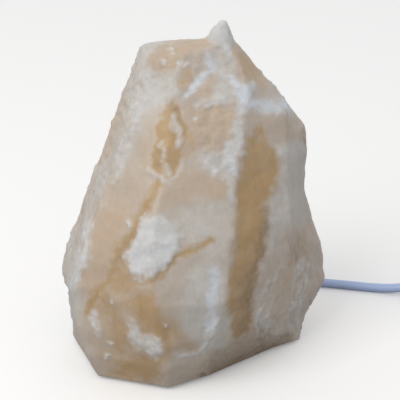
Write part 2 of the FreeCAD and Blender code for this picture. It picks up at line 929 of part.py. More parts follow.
def swept(path, radius, heading):
    """A round section swept along a wire that starts along the heading."""
    start = path.Edges[0].valueAt(path.Edges[0].FirstParameter)
    section = Part.Wire(Part.makeCircle(radius, start, heading))
    solid = path.makePipeShell([section], True, False)
    expected = math.pi * radius ** 2 * path.Length
    if abs(solid.Volume / expected - 1) > 0.01:
        raise ValueError("a tube's volume is off: %.1f for %.1f" % (solid.Volume, expected))
    return solid


def tube(points, radius):
    return swept(rounded_path(points)[0], radius, points[1] - points[0])


def cord_run(label, points):
    """A free stretch of the cord, laid along its route."""
    route = [Vector(*point) for point in points]
    path, radii = rounded_path(route)
    print("%s: %.1f mm long, bends %s" % (label, path.Length,
                                          " ".join("%.0f" % radius for radius in radii)))
    made_shape(label, [swept(path, cord_radius.value, route[1] - route[0])])
    return path.Length


floor_line = cord_radius.value
switch_x = 182.5
switch_y = 56
entry = s.switch_split.value
switch_near = switch_x - s.switch_length.value / 2
switch_far = switch_x + s.switch_length.value / 2

lead_route = (
    (0, 0, grip_exit.value),
    (0, 0, 11.5),
    (5.2, 9.0, floor_line),
    (13.4, 23.6, floor_line),
    (26.2, 44.2, floor_line),
    (38.5, 60.5, floor_line),
    (61.0, 71.2, floor_line),
    (88.0, 66.9, floor_line),
    (122.0, 59.2, floor_line),
    (139.0, switch_y, entry),
    (switch_near, switch_y, entry),
)

coil_centre = Vector(214.4, -8.5, floor_line)

link_route = (
    (switch_far, switch_y, entry),
    (227.0, switch_y, entry),
    (239.3, 50.5, 5.6),
    (248.5, 40.2, 3.4),
    (253.3, 27.0, floor_line),
    (254.9, 12.0, floor_line),
    (254.5, -3.0, floor_line),
)

plug_x = 202.9
plug_y = -53.9
plug_z = s.plug_height.value / 2

tail_route = (
    (237.3, -39.2, 8.85),
    (228.3, -48.6, 8.85),
    (215.9, plug_y, plug_z),
    (plug_x, plug_y, plug_z),
)


def coil_state(turn):
    """Place and heading of the coiled cord's axis after this many turns."""
    pitch, rise = s.coil_pitch.value, s.coil_layer_rise.value
    turns_in = s.coil_turns_in.value
    inner = s.coil_outer_radius.value - pitch * turns_in
    climb = min(max((turn - turns_in) / 0.5, 0), 1)
    if turn < turns_in:
        radius, growth = s.coil_outer_radius.value - pitch * turn, -pitch
    elif climb < 1:
        radius, growth = inner - pitch * climb * (1 - climb) / 2, pitch * (2 * climb - 1)
    else:
        radius, growth = inner + pitch * (turn - turns_in - 0.5), pitch
    height = rise * climb ** 2 * (3 - 2 * climb)
    steepness = rise * 12 * climb * (1 - climb)
    bearing = -2 * math.pi * turn
    out = Vector(math.cos(bearing), math.sin(bearing), 0)
    onward = Vector(math.sin(bearing), -math.cos(bearing), 0)
    place_now = coil_centre + out * radius + Vector(0, 0, height)
    heading = out * growth + onward * 2 * math.pi * radius + Vector(0, 0, steepness)
    return place_now, heading.normalize()


def arc_from(start, corner, stop):
    """The arc from start to stop whose end tangents meet at the corner."""
    half_chord = (stop - start) * 0.5
    middle = start + half_chord
    slope = math.acos(min(half_chord.Length / (corner - start).Length, 1))
    rise = half_chord.Length * math.tan(slope / 2)
    return Part.Arc(start, middle + (corner - middle).normalize() * rise, stop).toShape()


def biarc(here, there):
    """Two arcs that join two places, tangent to both headings and to each other."""
    (start, leave), (stop, arrive) = here, there
    chord = stop - start
    both = leave + arrive
    spare = 2 * (1 - leave.dot(arrive))
    along = chord.dot(both)
    reach = (-along + math.sqrt(along ** 2 + spare * chord.dot(chord))) / spare
    first_corner, last_corner = start + leave * reach, stop - arrive * reach
    joint = (first_corner + last_corner) * 0.5
    return [arc_from(start, first_corner, joint), arc_from(joint, last_corner, stop)]


def cord_coil():
    """The put-away length: in along the table, up a layer, and out again on top."""
    steps_per_turn = 4
    turns = s.coil_turns_in.value + 0.5 + s.coil_turns_out.value
    count = math.ceil(turns * steps_per_turn)
    states = [coil_state(turns * step / count) for step in range(count + 1)]
    stub = s.cord_diameter.value
    first, heading = states[0]
    last, leaving = states[-1]
    edges = [Part.LineSegment(first - heading * stub, first).toShape()]
    for here, there in zip(states, states[1:]):
        edges += biarc(here, there)
    edges.append(Part.LineSegment(last, last + leaving * stub).toShape())
    path = Part.Wire(edges)
    made_shape("cord_coil", [swept(path, cord_radius.value, heading)])

    samples = [coil_state(turns * step / 720)[0] for step in range(721)]
    near = round(720 / turns * 0.5)
    gap = min((samples[a] - samples[b]).Length
              for a in range(len(samples)) for b in range(a + near, len(samples)))
    print("cord_coil: %.1f mm long, least gap to itself %.2f mm"
          % (path.Length, gap - s.cord_diameter.value))
    ends = (first - heading * stub, last + leaving * stub)
    print("coil starts at %s and ends at %s" % tuple(
        tuple(round(value, 2) for value in end) for end in ends))
    return path.Length


def cord_in_holder():
    """The sheathed end that the grip holds, up to the inside of the nose."""
    body = named_body("cord_in_holder")
    place(body, z=grip_exit)
    pad(body, "sheath", "XY", [ring(0, 0, cord_radius)], cord_inner_end - grip_exit)


def holder_core(label, side):
    """A core from the sheath's end up to its terminal."""
    low = cord_inner_end.value
    high = spigot_top.value - s.terminal_width.value
    spread = s.terminal_spread.value * side
    start = s.core_pitch.value / 2 * side
    rise = high - low
    made_shape(label, [tube([
        Vector(start, 0, low),
        Vector(start, 0, low + rise * 0.22),
        Vector(start + (spread - start) * 0.45, 0, low + rise * 0.5),
        Vector(spread, 0, low + rise * 0.78),
        Vector(spread, 0, high),
    ], core_radius.value)])


# ---- the switch on the cord, in a frame whose origin is on the table under its middle ----

def place_in_switch(body, x=0, y=0, z=0):
    place(body, x + as_size(switch_x), y + as_size(switch_y), z)


def switch_outline(inset):
    """The long housing, narrower at both ends, drawn in by a wall."""
    end = s.switch_length / 2 - inset
    shoulder = s.switch_shoulder / 2
    side = s.switch_width / 2 - inset
    end_side = s.switch_end_width / 2 - inset
    return outline([(-end, -end_side), (-shoulder, -side), (shoulder, -side), (end, -end_side),
                    (end, end_side), (shoulder, side), (-shoulder, side), (-end, end_side)])


screw_spots = ((-14, -8.6), (14, -8.6))
clamp_reach = s.switch_length / 2 - s.switch_cord_grip / 2 - s.switch_wall
clamp_side = 4.9


def upright(edge):
    return edge.BoundBox.ZLength > 1 and edge.BoundBox.XLength < 0.01 and edge.BoundBox.YLength < 0.01


def switch_base():
    """The lower half: a tray with posts for the screws and a notch for the cord at each end."""
    body = named_body("switch_base")
    place_in_switch(body)
    tray = pad(body, "tray", "XY", [switch_outline(0)], s.switch_split)
    round_edges(body, "corners", tray, s.switch_corner, upright)
    pocket(body, "hollow", "XY", [switch_outline(s.switch_wall)],
           s.switch_split - s.switch_wall, s.switch_wall)
    post = s.switch_screw_radius + 1.5
    pad(body, "screw_posts", "XY", [ring(x, y, post) for x, y in screw_spots],
        s.switch_split - s.switch_wall, s.switch_wall)
    clamp_posts = [ring(clamp_reach * side_x, clamp_side * side_y, 1.9)
                   for side_x in (-1, 1) for side_y in (-1, 1)]
    pad(body, "clamp_posts", "XY", clamp_posts, s.switch_split - s.switch_wall, s.switch_wall)
    pocket(body, "screw_holes", "XY",
           [ring(x, y, s.switch_screw_radius + 0.1) for x, y in screw_spots], s.switch_split)
    clamp_holes = [ring(clamp_reach * side_x, clamp_side * side_y, 1.05)
                   for side_x in (-1, 1) for side_y in (-1, 1)]
    pocket(body, "clamp_holes", "XY", clamp_holes, s.switch_split - 4, 4)
    pocket(body, "head_seats", "XY",
           [ring(x, y, s.switch_screw_radius * 2) for x, y in screw_spots], 1.2)
    pocket(body, "cord_notches", "YZ",
           [ring(0, s.switch_split, cord_radius + s.switch_entry_gap)],
           s.switch_length, both_ways=True)


opening_half_length = s.rocker_radius + s.rocker_gap
opening_half_width = s.rocker_width / 2 + s.rocker_gap
cover_height = s.switch_height - s.switch_split
pivot_in_cover = s.rocker_pivot_height - s.switch_split


def switch_cover():
    """The upper half: a lid with the rocker's opening and the two ears that carry its pins."""
    body = named_body("switch_cover")
    place_in_switch(body, z=s.switch_split)
    lid = pad(body, "lid", "XY", [switch_outline(0)], cover_height)
    corners = round_edges(body, "corners", lid, s.switch_corner, upright)
    round_edges(body, "top_rim", corners, s.switch_rim, at_height(cover_height))
    pocket(body, "hollow", "XY", [switch_outline(s.switch_wall)],
           cover_height - s.switch_wall)
    ear = 2
    ears = []
    for side in (-1, 1):
        near = opening_half_width * side
        far = (opening_half_width + ear) * side
        ears.append(outline([(-3, near), (3, near), (3, far), (-3, far)]))
    ear_foot = pivot_in_cover - s.rocker_pin_radius - 1.5
    pad(body, "ears", "XY", ears, cover_height - s.switch_wall - ear_foot, ear_foot)
    post = s.switch_screw_radius + 1.5
    pad(body, "screw_posts", "XY", [ring(x, y, post) for x, y in screw_spots],
        cover_height - s.switch_wall)
    pocket(body, "opening", "XY", [outline(box_corners(
        -opening_half_length, -opening_half_width, opening_half_length, opening_half_width))],
        s.switch_wall, cover_height - s.switch_wall)
    pocket(body, "pin_seats", "XZ",
           [ring(0, pivot_in_cover, s.rocker_pin_radius + s.rocker_pin_clearance)],
           (opening_half_width + ear) * 2, both_ways=True)
    pocket(body, "screw_holes", "XY",
           [ring(x, y, s.switch_screw_radius + 0.05) for x, y in screw_spots],
           cover_height - s.switch_wall - 1)
    pocket(body, "cord_notches", "YZ", [ring(0, 0, cord_radius + s.switch_entry_gap)],
           s.switch_length, both_ways=True)


def tilt_rocker(body):
    """Lean a rocker piece to its off side about the pins."""
    place_in_switch(body, z=s.rocker_pivot_height)
    body.Placement.Rotation.Axis = Vector(0, 1, 0)
    body.setExpression("Placement.Rotation.Angle", "0 - Sizes.rocker_angle")
    body.Placement.Rotation.Axis = Vector(0, 1, 0)


def rocker():
    """The key: two faces that dip to the middle, round ends about the pins, and the pins."""
    body = named_body("rocker")
    crest_x = root_of(s.rocker_radius * s.rocker_radius - s.rocker_crest * s.rocker_crest)
    low = 1.8
    low_x = root_of(s.rocker_radius * s.rocker_radius - as_size(low * low))
    key = pad(body, "key", "XZ", [outline([
        (-crest_x, s.rocker_crest),
        right_arc(s.rocker_radius),
        (-low_x, -low),
        (-7.4, -s.rocker_skirt),
        (7.4, -s.rocker_skirt),
        (low_x, -low),
        right_arc(s.rocker_radius),
        (crest_x, s.rocker_crest),
        (0, s.rocker_dip),
    ])], s.rocker_width, both_ways=True)
    crest = s.rocker_crest.value
    round_edges(body, "soft_ends", key, 0.5,
                lambda edge: edge.BoundBox.ZLength < 0.01 and abs(edge.BoundBox.ZMin - crest) < 0.01
                and edge.BoundBox.YLength > 1)
    pad(body, "pins", "XZ", [ring(0, 0, s.rocker_pin_radius)],
        s.rocker_width + s.rocker_pin_reach * 2, both_ways=True)
    tilt_rocker(body)


def contact_bridge():
    """The brass strip under the key that closes the circuit."""
    body = named_body("contact_bridge")
    low = s.rocker_skirt + s.bridge_thickness
    pad(body, "strip", "XZ", [outline(box_corners(-4, -low, 8, -s.rocker_skirt))], 4,
        both_ways=True)
    tilt_rocker(body)


def switch_terminals():
    """The post under the pivot, and the post that the bridge meets when it is on."""
    body = named_body("switch_terminals")
    place_in_switch(body, z=s.switch_wall)
    tilt = s.rocker_angle
    low = s.rocker_skirt + s.bridge_thickness
    under_middle = s.rocker_pivot_height - low - 0.7 - s.switch_wall
    reach = 8
    under_end = (s.rocker_pivot_height - sin_of(tilt) * reach - cos_of(tilt) * low
                 - s.contact_gap - s.switch_wall)
    pad(body, "middle_post", "XY", [outline(box_corners(-2, -3, 2, 3))], under_middle)
    pad(body, "end_post", "XY", [outline(box_corners(5, -3, 9, 3))], under_end)


def neutral_link():
    """The block where the two neutral cores meet."""
    body = named_body("neutral_link")
    place_in_switch(body, z=s.switch_wall)
    pad(body, "block", "XY", [outline(box_corners(-6, 6.6, 6, 10))], 5)


def switch_clamps():
    """The bars that hold the cord down at both ends."""
    body = named_body("switch_clamps")
    low = s.switch_split + cord_radius + 0.1
    place_in_switch(body, z=low)
    bars = []
    holes = []
    for side in (-1, 1):
        middle = clamp_reach * side
        bars.append(outline(box_corners(middle - 2, -6.4, middle + 2, 6.4)))
        holes += [ring(middle, clamp_side * side_y, 1.1) for side_y in (-1, 1)]
    pad(body, "bars", "XY", bars, 1.6)
    pocket(body, "holes", "XY", holes, 1.6)


def clamp_screws():
    """The four screws of the clamp bars."""
    body = named_body("clamp_screws")
    place_in_switch(body)
    top = s.switch_split + cord_radius + 0.1 + 1.6
    spots = [(clamp_reach * side_x, clamp_side * side_y)
             for side_x in (-1, 1) for side_y in (-1, 1)]
    pad(body, "shanks", "XY", [ring(x, y, 1) for x, y in spots], top - 4.5, 4.5)
    pad(body, "heads", "XY", [ring(x, y, 1.7) for x, y in spots], 1, top)


def switch_screws():
    """The two screws that close the housing, sunk in the base."""
    body = named_body("switch_screws")
    place_in_switch(body)
    pad(body, "shanks", "XY", [ring(x, y, s.switch_screw_radius) for x, y in screw_spots],
        s.switch_height - s.switch_wall - 2, 0.4)
    pad(body, "heads", "XY", [ring(x, y, s.switch_screw_radius * 2 - 0.1) for x, y in screw_spots],
        0.9, 0.3)


def cord_in_switch():
    """The sheathed ends that the clamps hold."""
    body = named_body("cord_in_switch")
    place_in_switch(body, z=s.switch_split)
    end = s.switch_length / 2
    pad(body, "near_end", "YZ", [ring(0, 0, cord_radius)], s.switch_cord_grip, -end)
    pad(body, "far_end", "YZ", [ring(0, 0, cord_radius)], s.switch_cord_grip,
        end - s.switch_cord_grip)


def switch_cores(label, bends):
    """Two cores of one colour, from the cord's two ends to what they are clamped in."""
    stub = s.switch_length.value / 2 - s.switch_cord_grip.value
    middle = Vector(switch_x, switch_y, 0)
    cores = []
    for side, start_y, route in bends:
        points = [Vector(stub * side, start_y, s.switch_split.value)]
        points += [Vector(x * side, y, z) for x, y, z in route]
        cores.append(tube([point + middle for point in points], core_radius.value))
    made_shape(label, cores)


core_side = s.core_pitch.value / 2
live_bends = (
    (-1, -core_side, ((19, -core_side, 8.5), (14, -1.2, 5.2), (7.5, -0.2, 4.4), (2, -0.2, 4.4))),
    (1, -core_side, ((20, -core_side, 8.5), (16, -1.2, 5.4), (12.4, -0.2, 4.4), (9, -0.2, 4.4))),
)
neutral_route = ((19, core_side, 8.5), (14.5, 5.0, 5.6), (10, 8.3, 4.3), (6, 8.3, 4.3))
neutral_bends = ((-1, core_side, neutral_route), (1, core_side, neutral_route))


# ---- the plug, whose pins point towards -X ----

def place_in_plug(body):
    place(body, as_size(plug_x) - s.plug_relief_length - s.plug_body_length, plug_y,
          s.plug_height / 2)


def plug_section(body, name, half_width, half_height, corner, offset):
    """An eight-sided section across the plug."""
    side = half_width - corner
    rise = half_height - corner * 0.72
    return sketch(body, name, "YZ", [outline([
        (-half_width, -rise), (-side, -half_height), (side, -half_height), (half_width, -rise),
        (half_width, rise), (side, half_height), (-side, half_height), (-half_width, rise),
    ])], offset)


def plug_body():
    """The flat moulded body, waisted for the fingers, with a ribbed tail round the cord."""
    body = named_body("plug_body")
    place_in_plug(body)
    wide, tall = s.plug_width / 2, s.plug_height / 2
    length = s.plug_body_length
    sections = [
        plug_section(body, "face", wide, tall, as_size(5.4), 0),
        plug_section(body, "shoulder", wide - 0.4, tall, as_size(5.4), length * 0.22),
        plug_section(body, "waist", wide - 3.6, tall - 1.2, as_size(4.6), length * 0.6),
        plug_section(body, "tail", s.plug_relief_root + 1.4, s.plug_relief_root + 0.6,
                     as_size(2.4), length),
    ]
    loft = body.newObject("PartDesign::AdditiveLoft", "moulding")
    loft.Profile = sections[0]
    loft.Sections = sections[1:]
    loft.Ruled = True

    ribs = round(s.plug_relief_ribs.value)
    tip_radius = cord_radius + 0.9
    taper = (s.plug_relief_root - tip_radius) / ribs
    step = s.plug_relief_length / ribs
    corners = [(length, 0), (length, s.plug_relief_root)]
    for rib in range(ribs):
        rim = s.plug_relief_root - taper * rib
        corners.append((length + step * (rib + 0.55), rim - taper * 0.4))
        if rib < ribs - 1:
            corners.append((length + step * (rib + 0.55), rim - 1))
            corners.append((length + step * (rib + 1), rim - 1))
            corners.append((length + step * (rib + 1), rim - taper))
    corners.append((length + s.plug_relief_length, tip_radius))
    corners.append((length + s.plug_relief_length, 0))
    revolve(body, "relief", corners, axis="H_Axis")
    pocket(body, "pin_seats", "YZ",
           [ring(s.pin_spacing / 2 * side, 0, s.pin_core_radius + 0.05) for side in (-1, 1)],
           s.pin_seat)


def plug_pins():
    """The two round brass pins, thinner inside their sleeves, with rounded tips."""
    body = named_body("plug_pins")
    place_in_plug(body)
    spots = [s.pin_spacing / 2 * side for side in (-1, 1)]
    metal = s.pin_length - s.pin_sleeve_length
    pad(body, "cores", "YZ", [ring(spot, 0, s.pin_core_radius) for spot in spots],
        s.pin_seat - 0.3 + s.pin_sleeve_length, -s.pin_sleeve_length)
    tips = pad(body, "tips", "YZ", [ring(spot, 0, s.pin_radius) for spot in spots],
               metal, -s.pin_length)
    end = -s.pin_length.value
    round_edges(body, "round_tips", tips, s.pin_radius * 0.7,
                lambda edge: edge.BoundBox.XLength < 0.01 and abs(edge.BoundBox.XMin - end) < 0.01)


def plug_pin_sleeves():
    """The insulating sleeves next to the plug's face."""
    body = named_body("plug_pin_sleeves")
    place_in_plug(body)
    spots = [s.pin_spacing / 2 * side for side in (-1, 1)]
    shapes = [ring(spot, 0, s.pin_sleeve_radius) for spot in spots]
    shapes += [ring(spot, 0, s.pin_core_radius + 0.05) for spot in spots]
    pad(body, "sleeves", "YZ", shapes, s.pin_sleeve_length, -s.pin_sleeve_length)


sub_parts = []
salt_crystal()
for foot in foot_places:
    rubber_foot(*foot)
holder_dome()
holder_skirt()
contact_carrier()
screw_shell()
centre_contact()
terminal("live_terminal", -1)
terminal("neutral_terminal", 1)
terminal_screws()
cord_grip()
grip_screw()
grip_nut()
clip_disc()
for clip in range(round(s.clip_count.value)):
    spring_clip(clip)
clip_rivets()
shade_ring()
bulb_cap()
bulb_insulator()
bulb_tip()
bulb_glass()
glass_stem()
lead_wires()
filament()
cord_in_holder()
holder_core("live_core", -1)
holder_core("neutral_core", 1)
lead_length = cord_run("cord_lead", lead_route)
link_length = cord_run("cord_link", link_route)
coil_length = cord_coil()
tail_length = cord_run("cord_tail", tail_route)
switch_base()
switch_cover()
rocker()
contact_bridge()
switch_terminals()
neutral_link()
switch_clamps()
clamp_screws()
switch_screws()
cord_in_switch()
switch_cores("switch_live_cores", live_bends)
switch_cores("switch_neutral_cores", neutral_bends)
plug_body()
plug_pins()
plug_pin_sleeves()

doc.recompute()
for thing in doc.Objects:
    if "Invalid" in thing.State or "Error" in thing.State:
        raise RuntimeError("%s did not build" % thing.Label)
    if thing.TypeId in ("PartDesign::Pocket", "PartDesign::Groove"):
        if thing.Shape.Volume > thing.BaseFeature.Shape.Volume - 0.001:
            raise RuntimeError("%s cuts nothing" % thing.Label)
for piece in sub_parts:
    if piece.Shape.isNull() or not piece.Shape.isValid():
        raise RuntimeError("%s is not a sound solid" % piece.Label)

inside = (cord_inner_end - grip_exit).value + s.switch_length.value + s.plug_relief_length.value
print("cord from the holder to the plug: %.0f mm"
      % (lead_length + link_length + coil_length + tail_length + inside))

os.makedirs("parts", exist_ok=True)
for piece in sub_parts:
    piece.Shape.exportStep("parts/%s.step" % piece.Label)
print("%d sub-parts written" % len(sub_parts))
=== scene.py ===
import math

import bmesh
import bpy
import numpy as np
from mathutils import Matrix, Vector, noise
from mathutils.bvhtree import BVHTree


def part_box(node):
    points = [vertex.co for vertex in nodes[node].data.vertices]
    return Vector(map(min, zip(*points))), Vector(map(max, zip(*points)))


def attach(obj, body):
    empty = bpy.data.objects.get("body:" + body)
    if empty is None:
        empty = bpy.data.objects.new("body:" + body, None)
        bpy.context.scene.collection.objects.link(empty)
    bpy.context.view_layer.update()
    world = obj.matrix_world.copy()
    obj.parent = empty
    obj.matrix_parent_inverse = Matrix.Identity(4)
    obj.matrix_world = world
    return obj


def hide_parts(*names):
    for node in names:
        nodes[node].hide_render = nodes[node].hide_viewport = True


# The looks of a salt crystal lamp: a rough lump of rock salt over a small screw lampholder.
# Metres in the model; millimetres where a name or a note says so.

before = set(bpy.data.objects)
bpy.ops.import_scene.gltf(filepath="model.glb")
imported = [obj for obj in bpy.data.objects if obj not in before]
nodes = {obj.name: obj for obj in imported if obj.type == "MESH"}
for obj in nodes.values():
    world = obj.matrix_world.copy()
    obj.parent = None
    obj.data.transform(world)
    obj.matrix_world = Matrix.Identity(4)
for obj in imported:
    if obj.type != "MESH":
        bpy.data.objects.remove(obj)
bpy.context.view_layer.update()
mm = 0.001
print("frame loaded:", len(nodes), "nodes")


# ---- shared shader groups ----

def newGroup(name, inputs, outputs):
    # a shader group; a colour is known by its four values
    group = bpy.data.node_groups.new(name, "ShaderNodeTree")
    for sockets, way in ((inputs, "INPUT"), (outputs, "OUTPUT")):
        for label, value in sockets.items():
            kind = "NodeSocketColor" if isinstance(value, tuple) else "NodeSocketFloat"
            group.interface.new_socket(label, in_out=way, socket_type=kind).default_value = value
    return group, group.nodes.new("NodeGroupInput"), group.nodes.new("NodeGroupOutput")


def addNode(tree, kind, **values):
    node = tree.nodes.new("ShaderNode" + kind)
    for word, value in values.items():
        setattr(node, word, value)
    return node


def link(tree, source, sink):
    tree.links.new(source, sink)


def mathNode(tree, operation, first, second=None, clamp=False):
    node = addNode(tree, "Math", operation=operation, use_clamp=clamp)
    for socket, value in zip(node.inputs, (first, second)):
        if value is None:
            continue
        if isinstance(value, (int, float)):
            socket.default_value = value
        else:
            link(tree, value, socket)
    return node.outputs[0]


def mixColour(tree, share, first, second):
    node = addNode(tree, "Mix", data_type="RGBA")
    for index, value in ((0, share), (6, first), (7, second)):
        socket = node.inputs[index]
        if isinstance(value, (int, float)):
            socket.default_value = value
        elif isinstance(value, tuple):
            socket.default_value = (*value, 1)
        else:
            link(tree, value, socket)
    return node.outputs[2]


def noiseNode(tree, place, scale, detail, roughness):
    node = addNode(tree, "TexNoise")
    node.inputs["Detail"].default_value = detail
    node.inputs["Roughness"].default_value = roughness
    if isinstance(scale, (int, float)):
        node.inputs["Scale"].default_value = scale
    else:
        link(tree, scale, node.inputs["Scale"])
    link(tree, place, node.inputs["Vector"])
    return node.outputs["Fac"]


def rangeNode(tree, value, low, high):
    node = addNode(tree, "MapRange", interpolation_type="SMOOTHSTEP")
    link(tree, value, node.inputs["Value"])
    node.inputs["From Min"].default_value = low
    node.inputs["From Max"].default_value = high
    return node.outputs["Result"]


def makeMottleGroup():
    # uneven colour and gloss of a plain surface, with a fine grain for the bump
    white = (0.8, 0.8, 0.8, 1.0)
    group, start, end = newGroup(
        "surfaceMottle",
        {"Colour": white, "Roughness": 0.5, "Patch Scale": 60.0, "Grain Scale": 900.0,
         "Colour Spread": 0.06, "Gloss Spread": 0.08},
        {"Colour": white, "Roughness": 0.5, "Height": 0.5})
    place = addNode(group, "TexCoord").outputs["Object"]
    patches = noiseNode(group, place, start.outputs["Patch Scale"], 4.0, 0.55)
    grains = noiseNode(group, place, start.outputs["Grain Scale"], 2.0, 0.6)
    swing = mathNode(group, "SUBTRACT", patches, 0.5)
    tone = mathNode(group, "MULTIPLY", swing, start.outputs["Colour Spread"])
    bright = mathNode(group, "ADD", mathNode(group, "MULTIPLY", tone, 2.0), 1.0)
    scaled = addNode(group, "VectorMath", operation="SCALE")
    link(group, start.outputs["Colour"], scaled.inputs[0])
    link(group, bright, scaled.inputs["Scale"])
    link(group, scaled.outputs[0], end.inputs["Colour"])
    gloss = mathNode(group, "MULTIPLY", swing, start.outputs["Gloss Spread"])
    link(group, mathNode(group, "ADD", mathNode(group, "MULTIPLY", gloss, 2.0),
                         start.outputs["Roughness"], clamp=True), end.inputs["Roughness"])
    link(group, grains, end.inputs["Height"])
    return group


mottleGroup = makeMottleGroup()


def plainMaterial(name, colour, roughness, patchScale=60.0, grainScale=900.0, colourSpread=0.06,
                  glossSpread=0.08, bump=0.15, bumpDepth=0.0001, fixed=None):
    material = bpy.data.materials.new(name)
    material.use_nodes = True
    tree = material.node_tree
    shader = tree.nodes["Principled BSDF"]
    mottle = addNode(tree, "Group", node_tree=mottleGroup)
    mottle.inputs["Colour"].default_value = (*colour, 1)
    mottle.inputs["Roughness"].default_value = roughness
    mottle.inputs["Patch Scale"].default_value = patchScale
    mottle.inputs["Grain Scale"].default_value = grainScale
    mottle.inputs["Colour Spread"].default_value = colourSpread
    mottle.inputs["Gloss Spread"].default_value = glossSpread
    relief = addNode(tree, "Bump")
    relief.inputs["Strength"].default_value = bump
    relief.inputs["Distance"].default_value = bumpDepth
    link(tree, mottle.outputs["Colour"], shader.inputs["Base Color"])
    link(tree, mottle.outputs["Roughness"], shader.inputs["Roughness"])
    link(tree, mottle.outputs["Height"], relief.inputs["Height"])
    link(tree, relief.outputs["Normal"], shader.inputs["Normal"])
    for word, value in (fixed or {}).items():
        shader.inputs[word].default_value = value
    return material


# ---- shared mesh helpers ----

def newObject(name, mesh):
    thing = bpy.data.objects.new(name, mesh)
    bpy.context.scene.collection.objects.link(thing)
    return thing


def mergedCopy(node):
    shape = bmesh.new()
    shape.from_mesh(nodes[node].data)
    bmesh.ops.remove_doubles(shape, verts=shape.verts, dist=0.01 * mm)
    mesh = bpy.data.meshes.new(node + "Copy")
    shape.to_mesh(mesh)
    shape.free()
    return mesh


def finished(thing):
    # the plain mesh that a thing's modifiers make, with the modifiers gone
    bpy.context.view_layer.update()
    graph = bpy.context.evaluated_depsgraph_get()
    mesh = bpy.data.meshes.new_from_object(thing.evaluated_get(graph))
    thing.modifiers.clear()
    thing.data = mesh
    return thing


# ---- camera, floor and light ----

shot = {
    "target": (0.003, 0.0, 0.092),
    "distance": 0.75,
    "elevation": 25.0,
    "lens": 121.5,
    "sensor": 36.0,
    "pixels": 400,
}

elevation = math.radians(shot["elevation"])
target = Vector(shot["target"])
towardsCamera = Vector((0, -math.cos(elevation), math.sin(elevation)))
cameraPlace = target + towardsCamera * shot["distance"]
cameraUp = Vector((0, math.sin(elevation), math.cos(elevation)))
focalPixels = shot["pixels"] * shot["lens"] / shot["sensor"]


def makeCamera():
    data = bpy.data.cameras.new("photoCamera")
    data.lens = shot["lens"]
    data.sensor_width = shot["sensor"]
    data.clip_start = 0.01
    data.clip_end = 20
    camera = newObject("photoCamera", data)
    camera.location = cameraPlace
    camera.rotation_euler = (math.pi / 2 - elevation, 0, 0)
    bpy.context.scene.camera = camera


studio = {
    "skyStrength": 0.62,
    "skyColour": (1.0, 1.0, 1.0),
    "keyPlace": (-0.75, -0.8, 1.15),
    "keySize": 0.9,
    "keyPower": 9.0,
    "keyColour": (1.0, 0.985, 0.96),
    "floorColour": (0.93, 0.93, 0.93),
    "floorBounce": (0.42, 0.42, 0.42),      # the floor as bounced light meets it
    "floorRoughness": 0.9,
    "floorSheen": 0.1,
    "floorHalf": 3.0,
    "floorLift": 0.18,
}


def makeSky():
    # an even sky for the light, and plain white where the camera, metal or glass look past it
    world = bpy.data.worlds.new("softStudio")
    bpy.context.scene.world = world
    world.use_nodes = True
    tree = world.node_tree
    tree.nodes.clear()
    sky, white = addNode(tree, "Background"), addNode(tree, "Background")
    sky.inputs["Color"].default_value = (*studio["skyColour"], 1)
    sky.inputs["Strength"].default_value = studio["skyStrength"]
    white.inputs["Color"].default_value = (1, 1, 1, 1)
    rays = addNode(tree, "LightPath").outputs
    shown = mathNode(tree, "MAXIMUM", rays["Is Camera Ray"], rays["Is Glossy Ray"])
    shown = mathNode(tree, "MAXIMUM", shown, rays["Is Transmission Ray"])
    pick = addNode(tree, "MixShader")
    for source, socket in zip((shown, sky.outputs[0], white.outputs[0]), pick.inputs):
        link(tree, source, socket)
    link(tree, pick.outputs[0], addNode(tree, "OutputWorld").inputs["Surface"])


def makeKeyLight():
    light = bpy.data.lights.new("keyPanel", "AREA")
    light.energy = studio["keyPower"]
    light.size = studio["keySize"]
    light.color = studio["keyColour"]
    panel = newObject("keyPanel", light)
    panel.location = studio["keyPlace"]
    aim = target - Vector(studio["keyPlace"])
    panel.rotation_euler = aim.to_track_quat("-Z", "Y").to_euler()


def makeFloor():
    # a floor that keeps the shadow, near white to the camera and darker to bounced light
    half = studio["floorHalf"]
    mesh = bpy.data.meshes.new("floor")
    mesh.from_pydata([(-half, -half, 0), (half, -half, 0), (half, half, 0), (-half, half, 0)],
                     [], [(0, 1, 2, 3)])
    material = bpy.data.materials.new("paleFloor")
    material.use_nodes = True
    tree = material.node_tree
    shader = tree.nodes["Principled BSDF"]
    shader.inputs["Roughness"].default_value = studio["floorRoughness"]
    shader.inputs["Specular IOR Level"].default_value = studio["floorSheen"]
    seen = addNode(tree, "LightPath").outputs["Is Camera Ray"]
    link(tree, mixColour(tree, seen, studio["floorBounce"], studio["floorColour"]),
         shader.inputs["Base Color"])
    glow, both = addNode(tree, "Emission"), addNode(tree, "AddShader")
    link(tree, mathNode(tree, "MULTIPLY", seen, studio["floorLift"]), glow.inputs["Strength"])
    link(tree, shader.outputs[0], both.inputs[0])
    link(tree, glow.outputs[0], both.inputs[1])
    link(tree, both.outputs[0], tree.nodes["Material Output"].inputs["Surface"])
    mesh.materials.append(material)
    newObject("floor", mesh)


bpy.context.scene.view_settings.view_transform = "Standard"
makeCamera()
makeSky()
makeKeyLight()
makeFloor()
print("studio ready")


# ---- the lump of salt ----

lump = {
    "grid": 1.12,               # millimetres between the lump's points
    "softening": 11,            # rounds of smoothing that take the edges off the broken faces
    "boreRadius": 23.0,
    "boreTop": 131.0,
    "footHeight": 2.0,
    "grooveBearing": 60.0,
    "grooveHalf": 6.0,
    "grooveTop": 10.0,
    "drillRing": 1.6,           # millimetres between the rings that the core drill left
    "driftWide": 5,             # pixels that a mark's rim wanders, broadly and finely
    "driftFine": 2.2,
}
